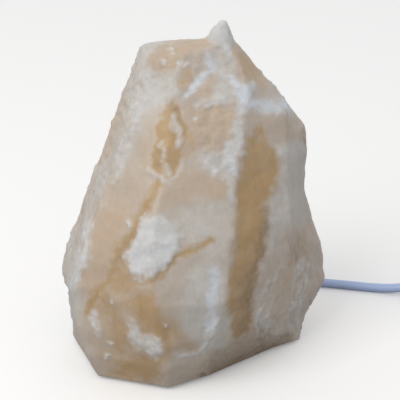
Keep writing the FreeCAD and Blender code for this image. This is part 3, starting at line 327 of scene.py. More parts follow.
# The salt's relief, in millimetres: the size of its forms, how far they rise everywhere, and how
# much further on granular breakage.
saltRelief = {
    "waves": {"size": 26, "rise": 0.7},
    "knobs": {"size": 12, "rise": 0.35, "grainy": 0.4},
    "crumbs": {"size": 5, "rise": 0.14, "grainy": 0.5},
    "specks": {"size": 2.6, "grainy": 0.22},
    "terraces": {"size": 16, "rise": 0.9, "grainy": 1.0, "steps": 5},
    "fibres": {"size": 3.2, "rise": 0.7, "slimness": 0.12},
    "streaks": {"size": 4.5, "rise": 0.9, "slimness": 0.1},
    "lean": 0.42,               # sideways shift of fibres and streaks for each step up
    "cloudRise": 0.7,
    "amberSink": 0.35,
    "darkSink": 0.3,
}

# What the photograph shows on the lump, by tone: strength, soft edge, half width and points, in
# the photograph's pixels. A mark with no half width is a patch inside its points.
saltMarks = {
    # cloudy zones, and painted shade on the lower right of the white cloud
    "grey": {
        "hornMist": (0.8, 6, None, ((206, 40), (214, 20), (228, 18), (236, 40), (241, 62),
            (226, 66), (214, 50))),
        "capMist": (0.75, 6, None, ((132, 74), (138, 42), (160, 36), (168, 42), (152, 54),
            (146, 72), (138, 84))),
        "smoothMist": (0.75, 8, None, ((144, 74), (176, 72), (190, 98), (172, 100), (160, 108),
            (152, 122), (142, 112))),
        "crestMist": (0.7, 8, None, ((206, 50), (226, 54), (238, 76), (234, 100), (214, 102),
            (206, 84))),
        "paleMottle": (0.75, 6, None, ((200, 150), (232, 146), (232, 174), (204, 172))),
        "middleMist": (0.55, 12, None, ((180, 200), (232, 204), (230, 262), (200, 262), (184, 240),
            (176, 222))),
        "rightMist": (0.65, 12, None, ((278, 148), (306, 146), (304, 190), (312, 216), (282, 232),
            (270, 250), (268, 214), (279, 186))),
        "columnMist": (0.7, 9, None, ((196, 262), (230, 262), (228, 332), (220, 352), (196, 356),
            (182, 330), (180, 290))),
        "footMist": (0.65, 6, None, ((178, 352), (214, 344), (216, 358), (202, 370), (172, 382),
            (158, 383), (158, 372))),
        "lowLeftMist": (0.5, 7, None, ((74, 296), (88, 316), (102, 332), (108, 352), (96, 364),
            (80, 338))),
        "edgeMist": (0.7, 5, 5, ((74, 232), (66, 254), (69, 286), (73, 320))),
        "lowRightMist": (0.5, 8, None, ((258, 290), (290, 280), (302, 320), (290, 340), (262, 342),
            (254, 326))),
        "faceMist": (0.7, 9, None, ((134, 74), (142, 84), (142, 106), (128, 136), (114, 176),
            (98, 210), (86, 226), (96, 168), (120, 96))),
        # painted shade: grey over the lower right part of the white cloud
        "cloudShade": (0.6, 7, None, ((168, 234), (186, 236), (180, 256), (160, 270), (146, 277),
            (152, 262))),
    },
    # tan and peach zones
    "tan": {
        "plateau": (0.7, 3, None, ((150, 55), (160, 46), (184, 40), (212, 39), (225, 44),
            (206, 48), (188, 52), (176, 62), (170, 72), (150, 72))),
        "upperTan": (0.65, 3, None, ((180, 80), (189, 70), (198, 73), (194, 86), (186, 97),
            (180, 90))),
        "innerTan": (0.6, 4, None, ((212, 66), (217, 79), (211, 95), (203, 107), (200, 90),
            (205, 76))),
        "faceTan": (0.5, 8, 6, ((122, 104), (112, 136), (104, 158))),
        "peachHigh": (0.7, 8, None, ((184, 108), (214, 104), (236, 112), (234, 144), (206, 150),
            (188, 150))),
        "peachMiddle": (0.55, 9, None, ((150, 118), (160, 110), (154, 150), (150, 178), (134, 176),
            (138, 146))),
        "peachLow": (0.6, 8, None, ((176, 172), (222, 174), (234, 184), (224, 198), (190, 202),
            (158, 208), (160, 190))),
        "peachLeft": (0.85, 9, None, ((96, 206), (124, 206), (128, 226), (116, 262), (106, 290),
            (86, 296), (80, 284), (92, 254), (94, 230))),
        "peachBand": (0.5, 10, None, ((108, 170), (140, 176), (150, 190), (134, 224), (100, 214))),
        "slopeTan": (0.9, 5, None, ((234, 44), (246, 48), (262, 72), (270, 88), (256, 88),
            (244, 76), (236, 60))),
        "rightTan": (0.25, 9, None, ((252, 116), (286, 114), (300, 130), (298, 142), (264, 144))),
        "lowTan": (0.75, 12, None, ((90, 292), (150, 288), (176, 330), (182, 352), (156, 384),
            (102, 372), (84, 330))),
        "footTan": (0.5, 8, None, ((158, 366), (206, 356), (206, 372), (164, 384))),
        "lowRightTan": (0.5, 10, None, ((262, 300), (296, 250), (306, 232), (312, 246), (298, 292),
            (282, 330))),
    },
    # iron-stained zones and veins, and a painted amber shadow along the lower edge of the white
    # cloud
    "amber": {
        "flame": (1.0, 3, None, ((171, 101), (164, 107), (160, 120), (155, 140), (151, 163),
            (154, 174), (167, 181), (179, 171), (184, 152), (187, 136), (184, 122), (178, 108))),
        "flameSide": (0.5, 6, None, ((180, 122), (192, 134), (196, 146), (184, 166), (178, 170))),
        "band": (0.95, 6, None, ((259, 127), (248, 140), (240, 156), (236, 176), (237, 212),
            (236, 240), (232, 264), (229, 300), (234, 340), (249, 332), (253, 300), (258, 270),
            (263, 250), (266, 222), (267, 200), (276, 187), (279, 172), (276, 152), (268, 138))),
        "leftVein": (0.95, 4, 4, ((158, 186), (151, 196), (145, 209), (134, 226), (127, 240),
            (120, 252), (115, 268), (108, 281), (97, 293), (90, 301), (89, 313))),
        # painted shadow: an amber line along the lower right edge of the raised white cloud
        "cloudEdgePaintedShadow": (0.85, 4, 3.5, ((141, 281), (158, 277), (170, 268), (177, 257), (191, 248),
            (209, 239))),
        "veinPool": (0.7, 5, None, ((116, 244), (128, 240), (128, 256), (132, 272), (144, 284),
            (128, 292), (110, 290), (112, 268))),
        "lowAmber": (0.85, 7, None, ((136, 290), (150, 296), (160, 312), (170, 334), (170, 354),
            (158, 340), (146, 330), (138, 318), (128, 302))),
        "lowAmberLeft": (0.6, 8, 6, ((104, 296), (116, 318), (122, 345))),
        "footAmber": (0.85, 6, None, ((120, 362), (142, 357), (162, 358), (158, 383), (130, 379),
            (108, 374))),
        "slopeAmber": (0.55, 4, 3, ((245, 54), (250, 66), (254, 80))),
        "capAmber": (0.45, 4, 3, ((181, 80), (186, 74), (192, 72))),
        "lowAmberRight": (0.45, 8, 5, ((160, 320), (178, 336), (192, 348))),
    },
    # the darker cores of the stained zones, and painted shade under the bottom right edge, in a
    # notch on the right side and along the white cloud's lower edge
    "dark": {
        "flameTop": (0.4, 5, 5, ((170, 104), (172, 114))),
        "flameFoot": (0.3, 4, 3, ((158, 150), (157, 166))),
        "bandCore": (0.65, 5, 4, ((268, 214), (262, 238), (257, 262), (252, 284), (248, 306),
            (245, 330))),
        "column": (0.45, 6, 6, ((247, 285), (245, 312), (240, 336))),
        "leftCore": (0.3, 4, 2.5, ((131, 232), (124, 248), (119, 264))),
        # painted shadow: the darker middle of the amber shadow line under the white cloud
        "cloudEdgeShadowCore": (0.25, 3, 2.5, ((163, 277), (174, 266), (178, 257))),
        # painted shade: a dark band along the downward-facing bevel at the bottom right edge, and
        # its softer spread above it
        "bevel": (0.85, 6, 6, ((206, 377), (232, 367), (256, 355), (268, 348), (290, 342))),
        "bevelShade": (0.55, 12, 7, ((214, 366), (238, 354), (262, 338))),
        "rightBrown": (0.3, 7, None, ((286, 240), (302, 232), (312, 244), (304, 264), (290, 266))),
        # painted shade: a short dark line in a small notch on the right side
        "notch": (0.6, 2, 1.5, ((305, 139), (306, 143))),
    },
    # white clouds, rims and flecks, and a painted highlight along the ridge between the left and
    # front faces
    "white": {
        "rightPale": (0.4, 5, None, ((274, 147), (302, 144), (306, 152), (300, 158), (278, 158))),
        "cloud": (1.0, 4, None, ((145, 214), (150, 219), (159, 217), (169, 219), (176, 228),
            (183, 236), (178, 250), (168, 268), (156, 274), (141, 281), (134, 277), (128, 266),
            (125, 250), (133, 245), (139, 230))),
        "lowCloud": (0.75, 4, None, ((126, 326), (131, 320), (137, 323), (144, 334), (158, 341),
            (163, 351), (156, 357), (148, 354), (131, 346), (126, 337))),
        "flameStreak": (0.75, 3.5, 1.8, ((172, 116), (174, 126), (177, 136), (179, 147))),
        "flameFleck": (0.5, 3.5, 1.8, ((161, 143), (163, 150), (160, 158))),
        "flameBase": (0.55, 4, 3, ((165, 164), (168, 172), (167, 177))),
        "flameRim": (0.4, 4, 2, ((149, 172), (158, 180), (168, 184), (177, 177), (183, 163))),
        # painted highlight: a bright line along the ridge where the left face meets the front face
        "ridgePaintedHighlight": (0.5, 6, 3.5, ((146, 76), (144, 97), (136, 122), (128, 140), (123, 162),
            (117, 182))),
        "hornLight": (0.8, 5, None, ((208, 42), (214, 20), (228, 18), (235, 42), (224, 52))),
        # painted highlight: the same ridge's bright line further down the left side
        "leftRidgePaintedHighlight": (0.8, 5, 5, ((89, 227), (86, 246), (80, 264), (75, 284))),
        "stripLight": (0.7, 5, 5, ((243, 103), (238, 120), (237, 138), (237, 152), (232, 168))),
        "paleFlecks": (0.5, 4, 3, ((200, 108), (206, 104), (214, 100), (224, 98))),
        "mottleFlecks": (0.5, 4, 2.5, ((206, 164), (214, 171), (224, 176))),
        "footLight": (0.7, 3, 2, ((182, 357), (198, 351), (207, 341), (216, 322))),
        "lowFleck": (0.7, 3, 3, ((95, 315), (98, 331))),
        "sideFleck": (0.6, 3, 1.6, ((301, 262), (296, 284), (292, 308))),
        "sideHair": (0.5, 2, 1, ((308, 262), (302, 290), (297, 322))),
        "thirdHair": (0.45, 2, 1.2, ((268, 284), (260, 310), (256, 334))),
        "fourthHair": (0.35, 2, 1, ((280, 262), (272, 300), (266, 334))),
    },
    # cold blue-white zones
    "cool": {
        "crestLight": (0.95, 5, None, ((230, 76), (240, 80), (252, 86), (254, 98), (246, 108),
            (239, 104), (234, 92))),
        "skyStreak": (0.8, 4, 3, ((212, 61), (201, 79), (189, 97))),
        "blueBand": (0.85, 7, 6, ((252, 105), (268, 104), (286, 107))),
        "blueStreak": (0.85, 5, 4.5, ((216, 274), (214, 292), (210, 312), (212, 324))),
        "bandEdge": (0.4, 5, 4, ((233, 146), (233, 180), (230, 200))),
    },
}
# Small white flecks: across, down and size, in pixels.
saltFlecks = ((129, 222, 2.5), (113, 304, 2.5), (97, 323, 4), (110, 343, 3), (109, 359, 2.5),
              (172, 50, 2.5), (162, 62, 3), (208, 107, 3), (196, 118, 2.5), (208, 163, 2.5),
              (215, 171, 3), (178, 63, 3), (166, 326, 2), (186, 66, 3), (222, 98, 3), (76, 284, 3))
# Zones of coarse, granular breakage, fibrous cleavage and streaks.
grainyZone = ((146, 46), (232, 40), (248, 84), (240, 150), (232, 174), (204, 172), (190, 120),
              (176, 96), (150, 86))
fibrousZone = ((140, 42), (146, 50), (143, 74), (143, 97), (135, 125), (126, 142), (120, 168),
               (106, 192), (96, 212), (88, 232), (76, 262), (66, 288), (54, 262), (60, 225),
               (84, 170), (112, 100), (128, 60))
streakedZone = ((262, 256), (300, 220), (328, 262), (322, 300), (302, 342), (255, 348),
                (252, 300))


def grain(points, size, octaves, seed, stretch=(1, 1, 1)):
    # fractal noise around 0 at each point, for a feature size in millimetres
    across = [amount / size for amount in stretch]
    shift = Vector((seed * 17.3, seed * 5.1, seed * 9.7))
    return np.array([noise.fractal(Vector((x * across[0], y * across[1], z * across[2])) + shift,
                                   0.9, 2.0, octaves) for x, y, z in points])


def smoothStep(value, low, high):
    share = np.clip((value - low) / (high - low), 0, 1)
    return share * share * (3 - 2 * share)


def lineDistance(u, v, line):
    best = np.full(len(u), 1e9)
    for (ax, ay), (bx, by) in zip(line, line[1:]):
        dx, dy = bx - ax, by - ay
        share = np.clip(((u - ax) * dx + (v - ay) * dy) / (dx * dx + dy * dy), 0, 1)
        best = np.minimum(best, np.hypot(u - ax - share * dx, v - ay - share * dy))
    return best


def depthInside(u, v, outline):
    # distance in from an outline, below 0 outside it
    inside = np.zeros(len(u), bool)
    for (ax, ay), (bx, by) in zip(outline, outline[1:] + outline[:1]):
        if ay == by:
            continue
        crosses = (ay > v) != (by > v)
        inside ^= crosses & (u < (bx - ax) * (v - ay) / (by - ay) + ax)
    distance = lineDistance(u, v, outline + outline[:1])
    return np.where(inside, distance, -distance)


def coverage(u, v, edge, half, points):
    # how fully a mark covers each point, from 0 to 1
    if half is None:
        return smoothStep(depthInside(u, v, points), -edge, edge)
    return 1 - smoothStep(lineDistance(u, v, points), max(half - edge, 0), half + edge)


def photoPixels(points):
    # where the camera sees points that are given in metres
    away = points - np.array(cameraPlace)
    depth = -(away @ np.array(towardsCamera))
    middle = shot["pixels"] / 2
    u = middle + focalPixels * away[:, 0] / depth
    v = middle - focalPixels * (away @ np.array(cameraUp)) / depth
    return u, v


def inCutouts(points):
    # 1 on the bore's wall and in the groove, 0 from a few millimetres outside them; millimetres
    reach = np.hypot(points[:, 0], points[:, 1])
    bore = (1 - smoothStep(reach, lump["boreRadius"] + 0.6, lump["boreRadius"] + 3.5))
    bore *= 1 - smoothStep(points[:, 2], lump["boreTop"] + 1, lump["boreTop"] + 4)
    bearing = math.radians(lump["grooveBearing"])
    along = points[:, 0] * math.cos(bearing) + points[:, 1] * math.sin(bearing)
    across = np.abs(points[:, 1] * math.cos(bearing) - points[:, 0] * math.sin(bearing))
    groove = (1 - smoothStep(across, lump["grooveHalf"] + 0.6, lump["grooveHalf"] + 3))
    groove *= (1 - smoothStep(points[:, 2], lump["grooveTop"] + 0.6, lump["grooveTop"] + 3))
    groove *= smoothStep(along, 0, 4)
    return np.maximum(bore, groove)


def vertexNormals(mesh):
    normals = np.zeros(len(mesh.vertices) * 3, np.float32)
    mesh.vertex_normals.foreach_get("vector", normals)
    return normals.reshape(-1, 3).astype(float)


def getPoints(mesh):
    points = np.zeros(len(mesh.vertices) * 3, np.float32)
    mesh.vertices.foreach_get("co", points)
    return points.reshape(-1, 3).astype(float)


def seenShare(points, normals, mesh):
    # 1 where the camera sees the lump, falling off to 0 round the sides
    tree = BVHTree.FromPolygons([vertex.co for vertex in mesh.vertices],
                                [tuple(face.vertices) for face in mesh.polygons])
    facing = normals @ np.array(towardsCamera)
    seen = smoothStep(facing, -0.05, 0.12)
    for index in np.nonzero(seen > 0)[0]:
        start = Vector(points[index] + normals[index] * 3 * mm)
        hit = tree.ray_cast(start, (cameraPlace - start).normalized(), 1.0)
        if hit[0] is not None and facing[index] < 0.5:
            seen[index] = 0
    return seen


def shapeLump():
    salt = newObject("saltLump", mergedCopy("salt_crystal"))
    even = salt.modifiers.new("even", "REMESH")
    even.mode = "VOXEL"
    even.voxel_size = lump["grid"] * mm
    even.adaptivity = 0
    finished(salt)
    sharp = getPoints(salt.data)
    soften = salt.modifiers.new("soften", "SMOOTH")
    soften.factor = 0.5
    soften.iterations = lump["softening"]
    finished(salt)
    soft = getPoints(salt.data)
    kept = inCutouts(sharp / mm)
    flat = 1 - smoothStep(sharp[:, 2] / mm, lump["footHeight"] + 0.6, lump["footHeight"] + 2.5)
    kept = np.maximum(kept, flat * 0.85)[:, None]
    points = soft * (1 - kept) + sharp * kept
    salt.data.vertices.foreach_set("co", points.astype(np.float32).ravel())
    salt.data.update()
    return salt


def markLump(points, u, v, seen):
    # how grey, tan, amber, dark, white, cool and grainy the salt is at each point, with painted
    # shade and highlight marks among them
    drift = grain(points, 11, 3, 1), grain(points, 11, 3, 2)
    fine = grain(points, 3.6, 2, 3), grain(points, 3.6, 2, 6)
    driftU = u + drift[0] * lump["driftWide"] + fine[0] * lump["driftFine"]
    driftV = v + drift[1] * lump["driftWide"] + fine[1] * lump["driftFine"]
    marks = {tone: np.zeros(len(u)) for tone in saltMarks}
    for tone, group in saltMarks.items():
        for strength, edge, half, shape in group.values():
            marks[tone] = np.maximum(marks[tone],
                                     coverage(driftU, driftV, edge, half, shape) * strength)
    for x, y, size in saltFlecks:
        fleck = 1 - smoothStep(np.hypot(driftU - x, driftV - y), size * 0.3, size * 1.5)
        marks["white"] = np.maximum(marks["white"], fleck * 0.8)
    grainy = coverage(driftU, driftV, 8, None, grainyZone) * 0.8
    grainy = np.maximum(grainy, marks["white"] * 0.7)
    grainy = np.maximum(grainy, coverage(driftU, driftV, 6, None, fibrousZone) * 0.5)

    # the sides that the photograph doesn't show carry the same kinds of zones
    broad = grain(points, 42, 3, 4) + fine[0] * 0.12
    other = grain(points, 30, 3, 5, (1.5, 1.5, 0.7)) + fine[1] * 0.12
    vein = 1 - smoothStep(np.abs(grain(points, 46, 2, 8, (1.3, 1.3, 0.6)) + fine[0] * 0.05),
                          0.015, 0.085)
    unseen = {
        "grey": smoothStep(-other, -0.05, 0.35) * 0.75,
        "tan": smoothStep(-broad, -0.05, 0.3) * 0.8,
        "amber": np.maximum(vein * 0.85, smoothStep(other, 0.16, 0.42) * 0.9),
        "dark": vein * smoothStep(other, -0.1, 0.2) * 0.45,
        "white": smoothStep(broad, 0.14, 0.36) * 0.95,
        "cool": smoothStep(broad + other, 0.3, 0.55) * 0.5,
    }
    for tone in saltMarks:
        marks[tone] = np.clip(marks[tone] * seen + unseen[tone] * (1 - seen), 0, 1)
    marks["grainy"] = np.clip(grainy * seen + smoothStep(broad, -0.1, 0.3) * (1 - seen), 0, 1)
    return marks


def raiseLump(points, u, v, seen, marks):
    # how far each point stands out from the softened lump, in millimetres
    grainy = marks["grainy"]
    waves, knobs, crumbs = saltRelief["waves"], saltRelief["knobs"], saltRelief["crumbs"]
    raised = grain(points, waves["size"], 2, 11) * waves["rise"]
    raised += grain(points, knobs["size"], 2, 12) * (knobs["rise"] + knobs["grainy"] * grainy)
    raised += grain(points, crumbs["size"], 3, 13) * (crumbs["rise"] + crumbs["grainy"] * grainy)
    specks, steps = saltRelief["specks"], saltRelief["terraces"]
    raised += grain(points, specks["size"], 2, 19) * specks["grainy"] * grainy
    terraces = grain(points, steps["size"], 2, 14, (1, 1, 1.6))
    drop = np.floor(terraces * steps["steps"]) / steps["steps"] - terraces
    raised += drop * (steps["rise"] + steps["grainy"] * grainy) * (1 - 0.6 * seen)
    slanted = points @ np.array(((1, 0, 0), (0, 1, 0), (saltRelief["lean"], 0, 1)))
    for zone, edge, seed, form in ((fibrousZone, 5, 15, saltRelief["fibres"]),
                                   (streakedZone, 8, 16, saltRelief["streaks"])):
        share = coverage(u, v, edge, None, zone) * seen
        raised += share * form["rise"] * grain(slanted, form["size"], 3, seed,
                                               (1.0, 1.0, form["slimness"]))
    raised += marks["white"] * saltRelief["cloudRise"]
    raised -= marks["amber"] * saltRelief["amberSink"] + marks["dark"] * saltRelief["darkSink"]
    return raised


def paintMask(mesh, name, values):
    attribute = mesh.attributes.new(name, "FLOAT", "POINT")
    attribute.data.foreach_set("value", values.astype(np.float32))


def makeSaltMaterial():
    tones = {
        "clear": (0.560, 0.485, 0.415),
        "grey": (0.600, 0.588, 0.565),
        "tan": (0.560, 0.430, 0.310),
        "amber": (0.490, 0.330, 0.165),
        # dark: stain cores, and painted shade under the bottom edge, in a notch and under the
        # white cloud
        "dark": (0.300, 0.210, 0.125),
        # white: clouds and flecks, and a painted highlight along the left ridge
        "white": (0.660, 0.665, 0.665),
        "cool": (0.690, 0.735, 0.795),
        "sawn": (0.600, 0.560, 0.520),
    }
    material = bpy.data.materials.new("rockSalt")
    material.use_nodes = True
    tree = material.node_tree
    shader = tree.nodes["Principled BSDF"]
    place = addNode(tree, "TexCoord").outputs["Object"]
    masks = {name: addNode(tree, "Attribute", attribute_name=name).outputs["Fac"]
             for name in (*saltMarks, "grainy", "sawn")}
    frost = noiseNode(tree, place, 330, 5, 0.62)
    mist = noiseNode(tree, place, 75, 4, 0.6)
    glint = noiseNode(tree, place, 1300, 3, 0.6)
    lay = addNode(tree, "Mapping")
    lay.inputs["Rotation"].default_value = (0, math.radians(-20), 0)
    lay.inputs["Scale"].default_value = (1, 1, 0.16)
    link(tree, place, lay.inputs["Vector"])
    fibre = noiseNode(tree, lay.outputs[0], 420, 4, 0.6)
    frostSwing = mathNode(tree, "SUBTRACT", frost, 0.5)
    mistSwing = mathNode(tree, "SUBTRACT", mist, 0.5)
    base = tones["clear"]
    for name in saltMarks:
        # a mask's own rim is broken up by the frost, its middle only thinned by the mist
        rim = mathNode(tree, "MULTIPLY", masks[name], mathNode(tree, "SUBTRACT", 1.0, masks[name]))
        torn = mathNode(tree, "MULTIPLY", mathNode(tree, "MULTIPLY", rim, frostSwing), 5.0)
        thin = mathNode(tree, "MULTIPLY", mathNode(tree, "MULTIPLY", masks[name], mistSwing), 0.9)
        share = mathNode(tree, "ADD", mathNode(tree, "ADD", masks[name], torn), thin, clamp=True)
        base = mixColour(tree, share, base, tones[name])
    swing = mathNode(tree, "ADD", mathNode(tree, "MULTIPLY", mistSwing, 0.16),
                     mathNode(tree, "MULTIPLY", mathNode(tree, "SUBTRACT", fibre, 0.5), 0.18))
    frosted = mathNode(tree, "MULTIPLY", frostSwing,
                       mathNode(tree, "ADD", mathNode(tree, "MULTIPLY", masks["grainy"], 0.30),
                                0.08))
    shade = addNode(tree, "VectorMath", operation="SCALE")
    link(tree, base, shade.inputs[0])
    link(tree, mathNode(tree, "ADD", mathNode(tree, "ADD", swing, frosted), 1.0),
         shade.inputs["Scale"])
    base = shade.outputs[0]
    grains = mathNode(tree, "MULTIPLY", rangeNode(tree, glint, 0.56, 0.72),
                      mathNode(tree, "ADD", mathNode(tree, "MULTIPLY", masks["grainy"], 0.28),
                               0.04))
    base = mixColour(tree, grains, base, tones["white"])
    height = addNode(tree, "SeparateXYZ")
    link(tree, place, height.inputs[0])
    rings = mathNode(tree, "SINE", mathNode(tree, "MULTIPLY", height.outputs["Z"],
                                            2 * math.pi / (lump["drillRing"] * mm)))
    base = mixColour(tree, mathNode(tree, "MULTIPLY", masks["sawn"], 0.6), base, tones["sawn"])
    link(tree, base, shader.inputs["Base Color"])
    dullness = mathNode(tree, "ADD", mathNode(tree, "MULTIPLY", masks["grainy"], 0.2),
                        mathNode(tree, "MULTIPLY", masks["white"], 0.12))
    link(tree, mathNode(tree, "ADD", mathNode(tree, "ADD", dullness, 0.44),
                        mathNode(tree, "MULTIPLY", frostSwing, 0.3)), shader.inputs["Roughness"])
    shader.inputs["Subsurface Weight"].default_value = 0.4
    shader.inputs["Subsurface Radius"].default_value = (1.0, 0.66, 0.45)
    shader.inputs["Subsurface Scale"].default_value = 0.006
    shader.inputs["IOR"].default_value = 1.54
    relief = addNode(tree, "Bump")
    relief.inputs["Strength"].default_value = 0.35
    relief.inputs["Distance"].default_value = 0.0006
    broken = mathNode(tree, "MULTIPLY", mathNode(tree, "ADD", masks["grainy"], 0.2),
                      mathNode(tree, "ADD", frost, mathNode(tree, "MULTIPLY", glint, 0.5)))
    drilled = mathNode(tree, "MULTIPLY", mathNode(tree, "MULTIPLY", rings, masks["sawn"]), 0.12)
    link(tree, mathNode(tree, "ADD", broken, drilled), relief.inputs["Height"])
    link(tree, relief.outputs["Normal"], shader.inputs["Normal"])
    return material


def makeLump():
    salt = shapeLump()
    mesh = salt.data
    points = getPoints(mesh)
    normals = vertexNormals(mesh)
    u, v = photoPixels(points)
    seen = seenShare(points, normals, mesh)
    marks = markLump(points / mm, u, v, seen)
    raised = raiseLump(points / mm, u, v, seen, marks)
    cut = inCutouts(points / mm)
    aboveFoot = points[:, 2] / mm - lump["footHeight"]
    free = (1 - cut) * smoothStep(aboveFoot, 0.3, 3)
    points += normals * (raised * free * mm)[:, None]
    reach = np.hypot(points[:, 0], points[:, 1]) / mm
    onBore = (np.abs(reach - lump["boreRadius"]) < 0.8) & (points[:, 2] / mm < lump["boreTop"] - 1)
    points[onBore, :2] *= (lump["boreRadius"] / reach[onBore])[:, None]
    mesh.vertices.foreach_set("co", points.astype(np.float32).ravel())
    mesh.update()
    marks["sawn"] = np.maximum(cut, 1 - smoothStep(aboveFoot, 0.2, 1.0))
    for name, values in marks.items():
        paintMask(mesh, name, values)
    mesh.shade_smooth()
    mesh.materials.clear()
    mesh.materials.append(makeSaltMaterial())
    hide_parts("salt_crystal")
    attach(salt, "crystal")
    print("salt lump:", len(mesh.vertices), "points")


makeLump()


# ---- shared geometry trees ----

def newGeometry(name, numbers, takesShape=False):
    # a tree that takes these numbers and a material, and a mesh to start from where it needs one
    group = bpy.data.node_groups.new(name, "GeometryNodeTree")
    if takesShape:
        group.interface.new_socket("Geometry", in_out="INPUT", socket_type="NodeSocketGeometry")
    for label, value in numbers.items():
        kind = "NodeSocketInt" if isinstance(value, int) else "NodeSocketFloat"
        socket = group.interface.new_socket(label, in_out="INPUT", socket_type=kind)
        socket.default_value = value
    group.interface.new_socket("Material", in_out="INPUT", socket_type="NodeSocketMaterial")
    group.interface.new_socket("Geometry", in_out="OUTPUT", socket_type="NodeSocketGeometry")
    return group, group.nodes.new("NodeGroupInput").outputs, group.nodes.new("NodeGroupOutput")


def shapeNode(group, kind, inputs=None, **settings):
    # a node of a geometry tree, with its named inputs set or linked, as its first output
    node = group.nodes.new("GeometryNode" + kind)
    for word, value in settings.items():
        setattr(node, word, value)
    for word, value in (inputs or {}).items():
        if isinstance(value, bpy.types.NodeSocket):
            group.links.new(value, node.inputs[word])
        else:
            node.inputs[word].default_value = value
    return node.outputs[0] if node.outputs else node


def joined(group, *parts):
    node = group.nodes.new("GeometryNodeJoinGeometry")
    for part in reversed(parts):
        group.links.new(part, node.inputs[0])
    return node.outputs[0]


def closeTree(group, start, end, geometry, merge=0.00001):
    whole = shapeNode(group, "RealizeInstances", {"Geometry": geometry})
    whole = shapeNode(group, "MergeByDistance", {"Geometry": whole, "Distance": merge})
    whole = shapeNode(group, "SetMaterial", {"Geometry": whole, "Material": start["Material"]})
    group.links.new(whole, end.inputs["Geometry"])
    return group


def grow(name, group, values, mesh=None, smooth=True):
    # a plain mesh from a geometry tree, in an object of its own
    thing = newObject(name, mesh or bpy.data.meshes.new(name))
    shaper = thing.modifiers.new("shaper", "NODES")
    shaper.node_group = group
    for item in group.interface.items_tree:
        if item.item_type == "SOCKET" and item.in_out == "INPUT" and item.name in values:
            shaper[item.identifier] = values[item.name]
    finished(thing)
    if smooth:
        thing.data.shade_smooth()
    return thing


def lineMesh(name, points):
    mesh = bpy.data.meshes.new(name)
    mesh.from_pydata([tuple(point) for point in points],
                     [(index, index + 1) for index in range(len(points) - 1)], [])
    return mesh


def combine(group, x, y, z):
    node = addNode(group, "CombineXYZ")
    for socket, value in zip(node.inputs, (x, y, z)):
        if isinstance(value, (int, float)):
            socket.default_value = value
        else:
            link(group, value, socket)
    return node.outputs[0]


def raisedTo(group, shape, height, size=(1, 1, 1)):
    return shapeNode(group, "Transform", {"Geometry": shape, "Scale": size,
                                          "Translation": combine(group, 0, 0, height)})


def makeThreadTree():
    # a sleeve with a right-hand thread that fades at its ends, over a cone at its mouth
    group, start, end = newGeometry("threadedSleeve", {
        "Radius": 0.007, "Mouth Radius": 0.003, "Mouth Length": 0.002, "Bottom": 0.0,
        "Length": 0.015, "Depth": 0.0004, "Pitch": 0.0028, "Columns": 97, "Rows": 90,
    })
    grid = shapeNode(group, "MeshGrid", {"Size X": 1.0, "Size Y": 1.0,
                                         "Vertices X": start["Columns"],
                                         "Vertices Y": start["Rows"]})
    place = addNode(group, "SeparateXYZ")
    link(group, shapeNode(group, "InputPosition"), place.inputs[0])
    turn = mathNode(group, "ADD", place.outputs[0], 0.5)
    along = mathNode(group, "MULTIPLY", mathNode(group, "ADD", place.outputs[1], 0.5),
                     start["Length"])
    cone = mathNode(group, "DIVIDE", along, start["Mouth Length"], clamp=True)
    spread = mathNode(group, "SUBTRACT", start["Radius"], start["Mouth Radius"])
    reach = mathNode(group, "ADD", mathNode(group, "MULTIPLY", spread, cone),
                     start["Mouth Radius"])
    past = mathNode(group, "SUBTRACT", along, start["Mouth Length"])
    left = mathNode(group, "SUBTRACT", start["Length"], along)
    fade = mathNode(group, "MULTIPLY",
                    mathNode(group, "DIVIDE", past, start["Pitch"], clamp=True),
                    mathNode(group, "DIVIDE", left, start["Pitch"], clamp=True))
    phase = mathNode(group, "SUBTRACT", mathNode(group, "DIVIDE", along, start["Pitch"]), turn)
    wave = mathNode(group, "COSINE", mathNode(group, "MULTIPLY", phase, 2 * math.pi))
    valley = mathNode(group, "SUBTRACT", 0.5, mathNode(group, "MULTIPLY", wave, 0.5))
    cutIn = mathNode(group, "MULTIPLY", mathNode(group, "MULTIPLY", valley, fade), start["Depth"])
    reach = mathNode(group, "SUBTRACT", reach, cutIn)
    bearing = mathNode(group, "MULTIPLY", turn, 2 * math.pi)
    spot = combine(group, mathNode(group, "MULTIPLY", reach, mathNode(group, "COSINE", bearing)),
                   mathNode(group, "MULTIPLY", reach, mathNode(group, "SINE", bearing)),
                   mathNode(group, "ADD", along, start["Bottom"]))
    sleeve = shapeNode(group, "SetPosition", {"Geometry": grid, "Position": spot})
    return closeTree(group, start, end, sleeve)


def makeRivetTree():
    # domed rivets on a ring, through the clips' feet and the disc
    group, start, end = newGeometry("rivetRing", {
        "Count": 3, "Ring Radius": 0.0187, "Low": 0.054, "High": 0.0554, "Head Radius": 0.00125,
        "Head Height": 0.0005, "Shank Radius": 0.0008,
    })
    ring = shapeNode(group, "MeshCircle", {"Vertices": start["Count"],
                                           "Radius": start["Ring Radius"]})
    ball = shapeNode(group, "MeshUVSphere", {"Segments": 24, "Rings": 12, "Radius": 1.0})
    size = combine(group, start["Head Radius"], start["Head Radius"], start["Head Height"])
    top = raisedTo(group, ball, start["High"], size)
    bottom = raisedTo(group, ball, start["Low"], size)
    depth = mathNode(group, "SUBTRACT", start["High"], start["Low"])
    middle = mathNode(group, "MULTIPLY", mathNode(group, "ADD", start["High"], start["Low"]), 0.5)
    shank = shapeNode(group, "MeshCylinder", {"Vertices": 20, "Radius": start["Shank Radius"],
                                              "Depth": depth})
    rivet = joined(group, top, raisedTo(group, shank, middle), bottom)
    rivets = shapeNode(group, "InstanceOnPoints", {"Points": ring, "Instance": rivet})
    return closeTree(group, start, end, rivets)


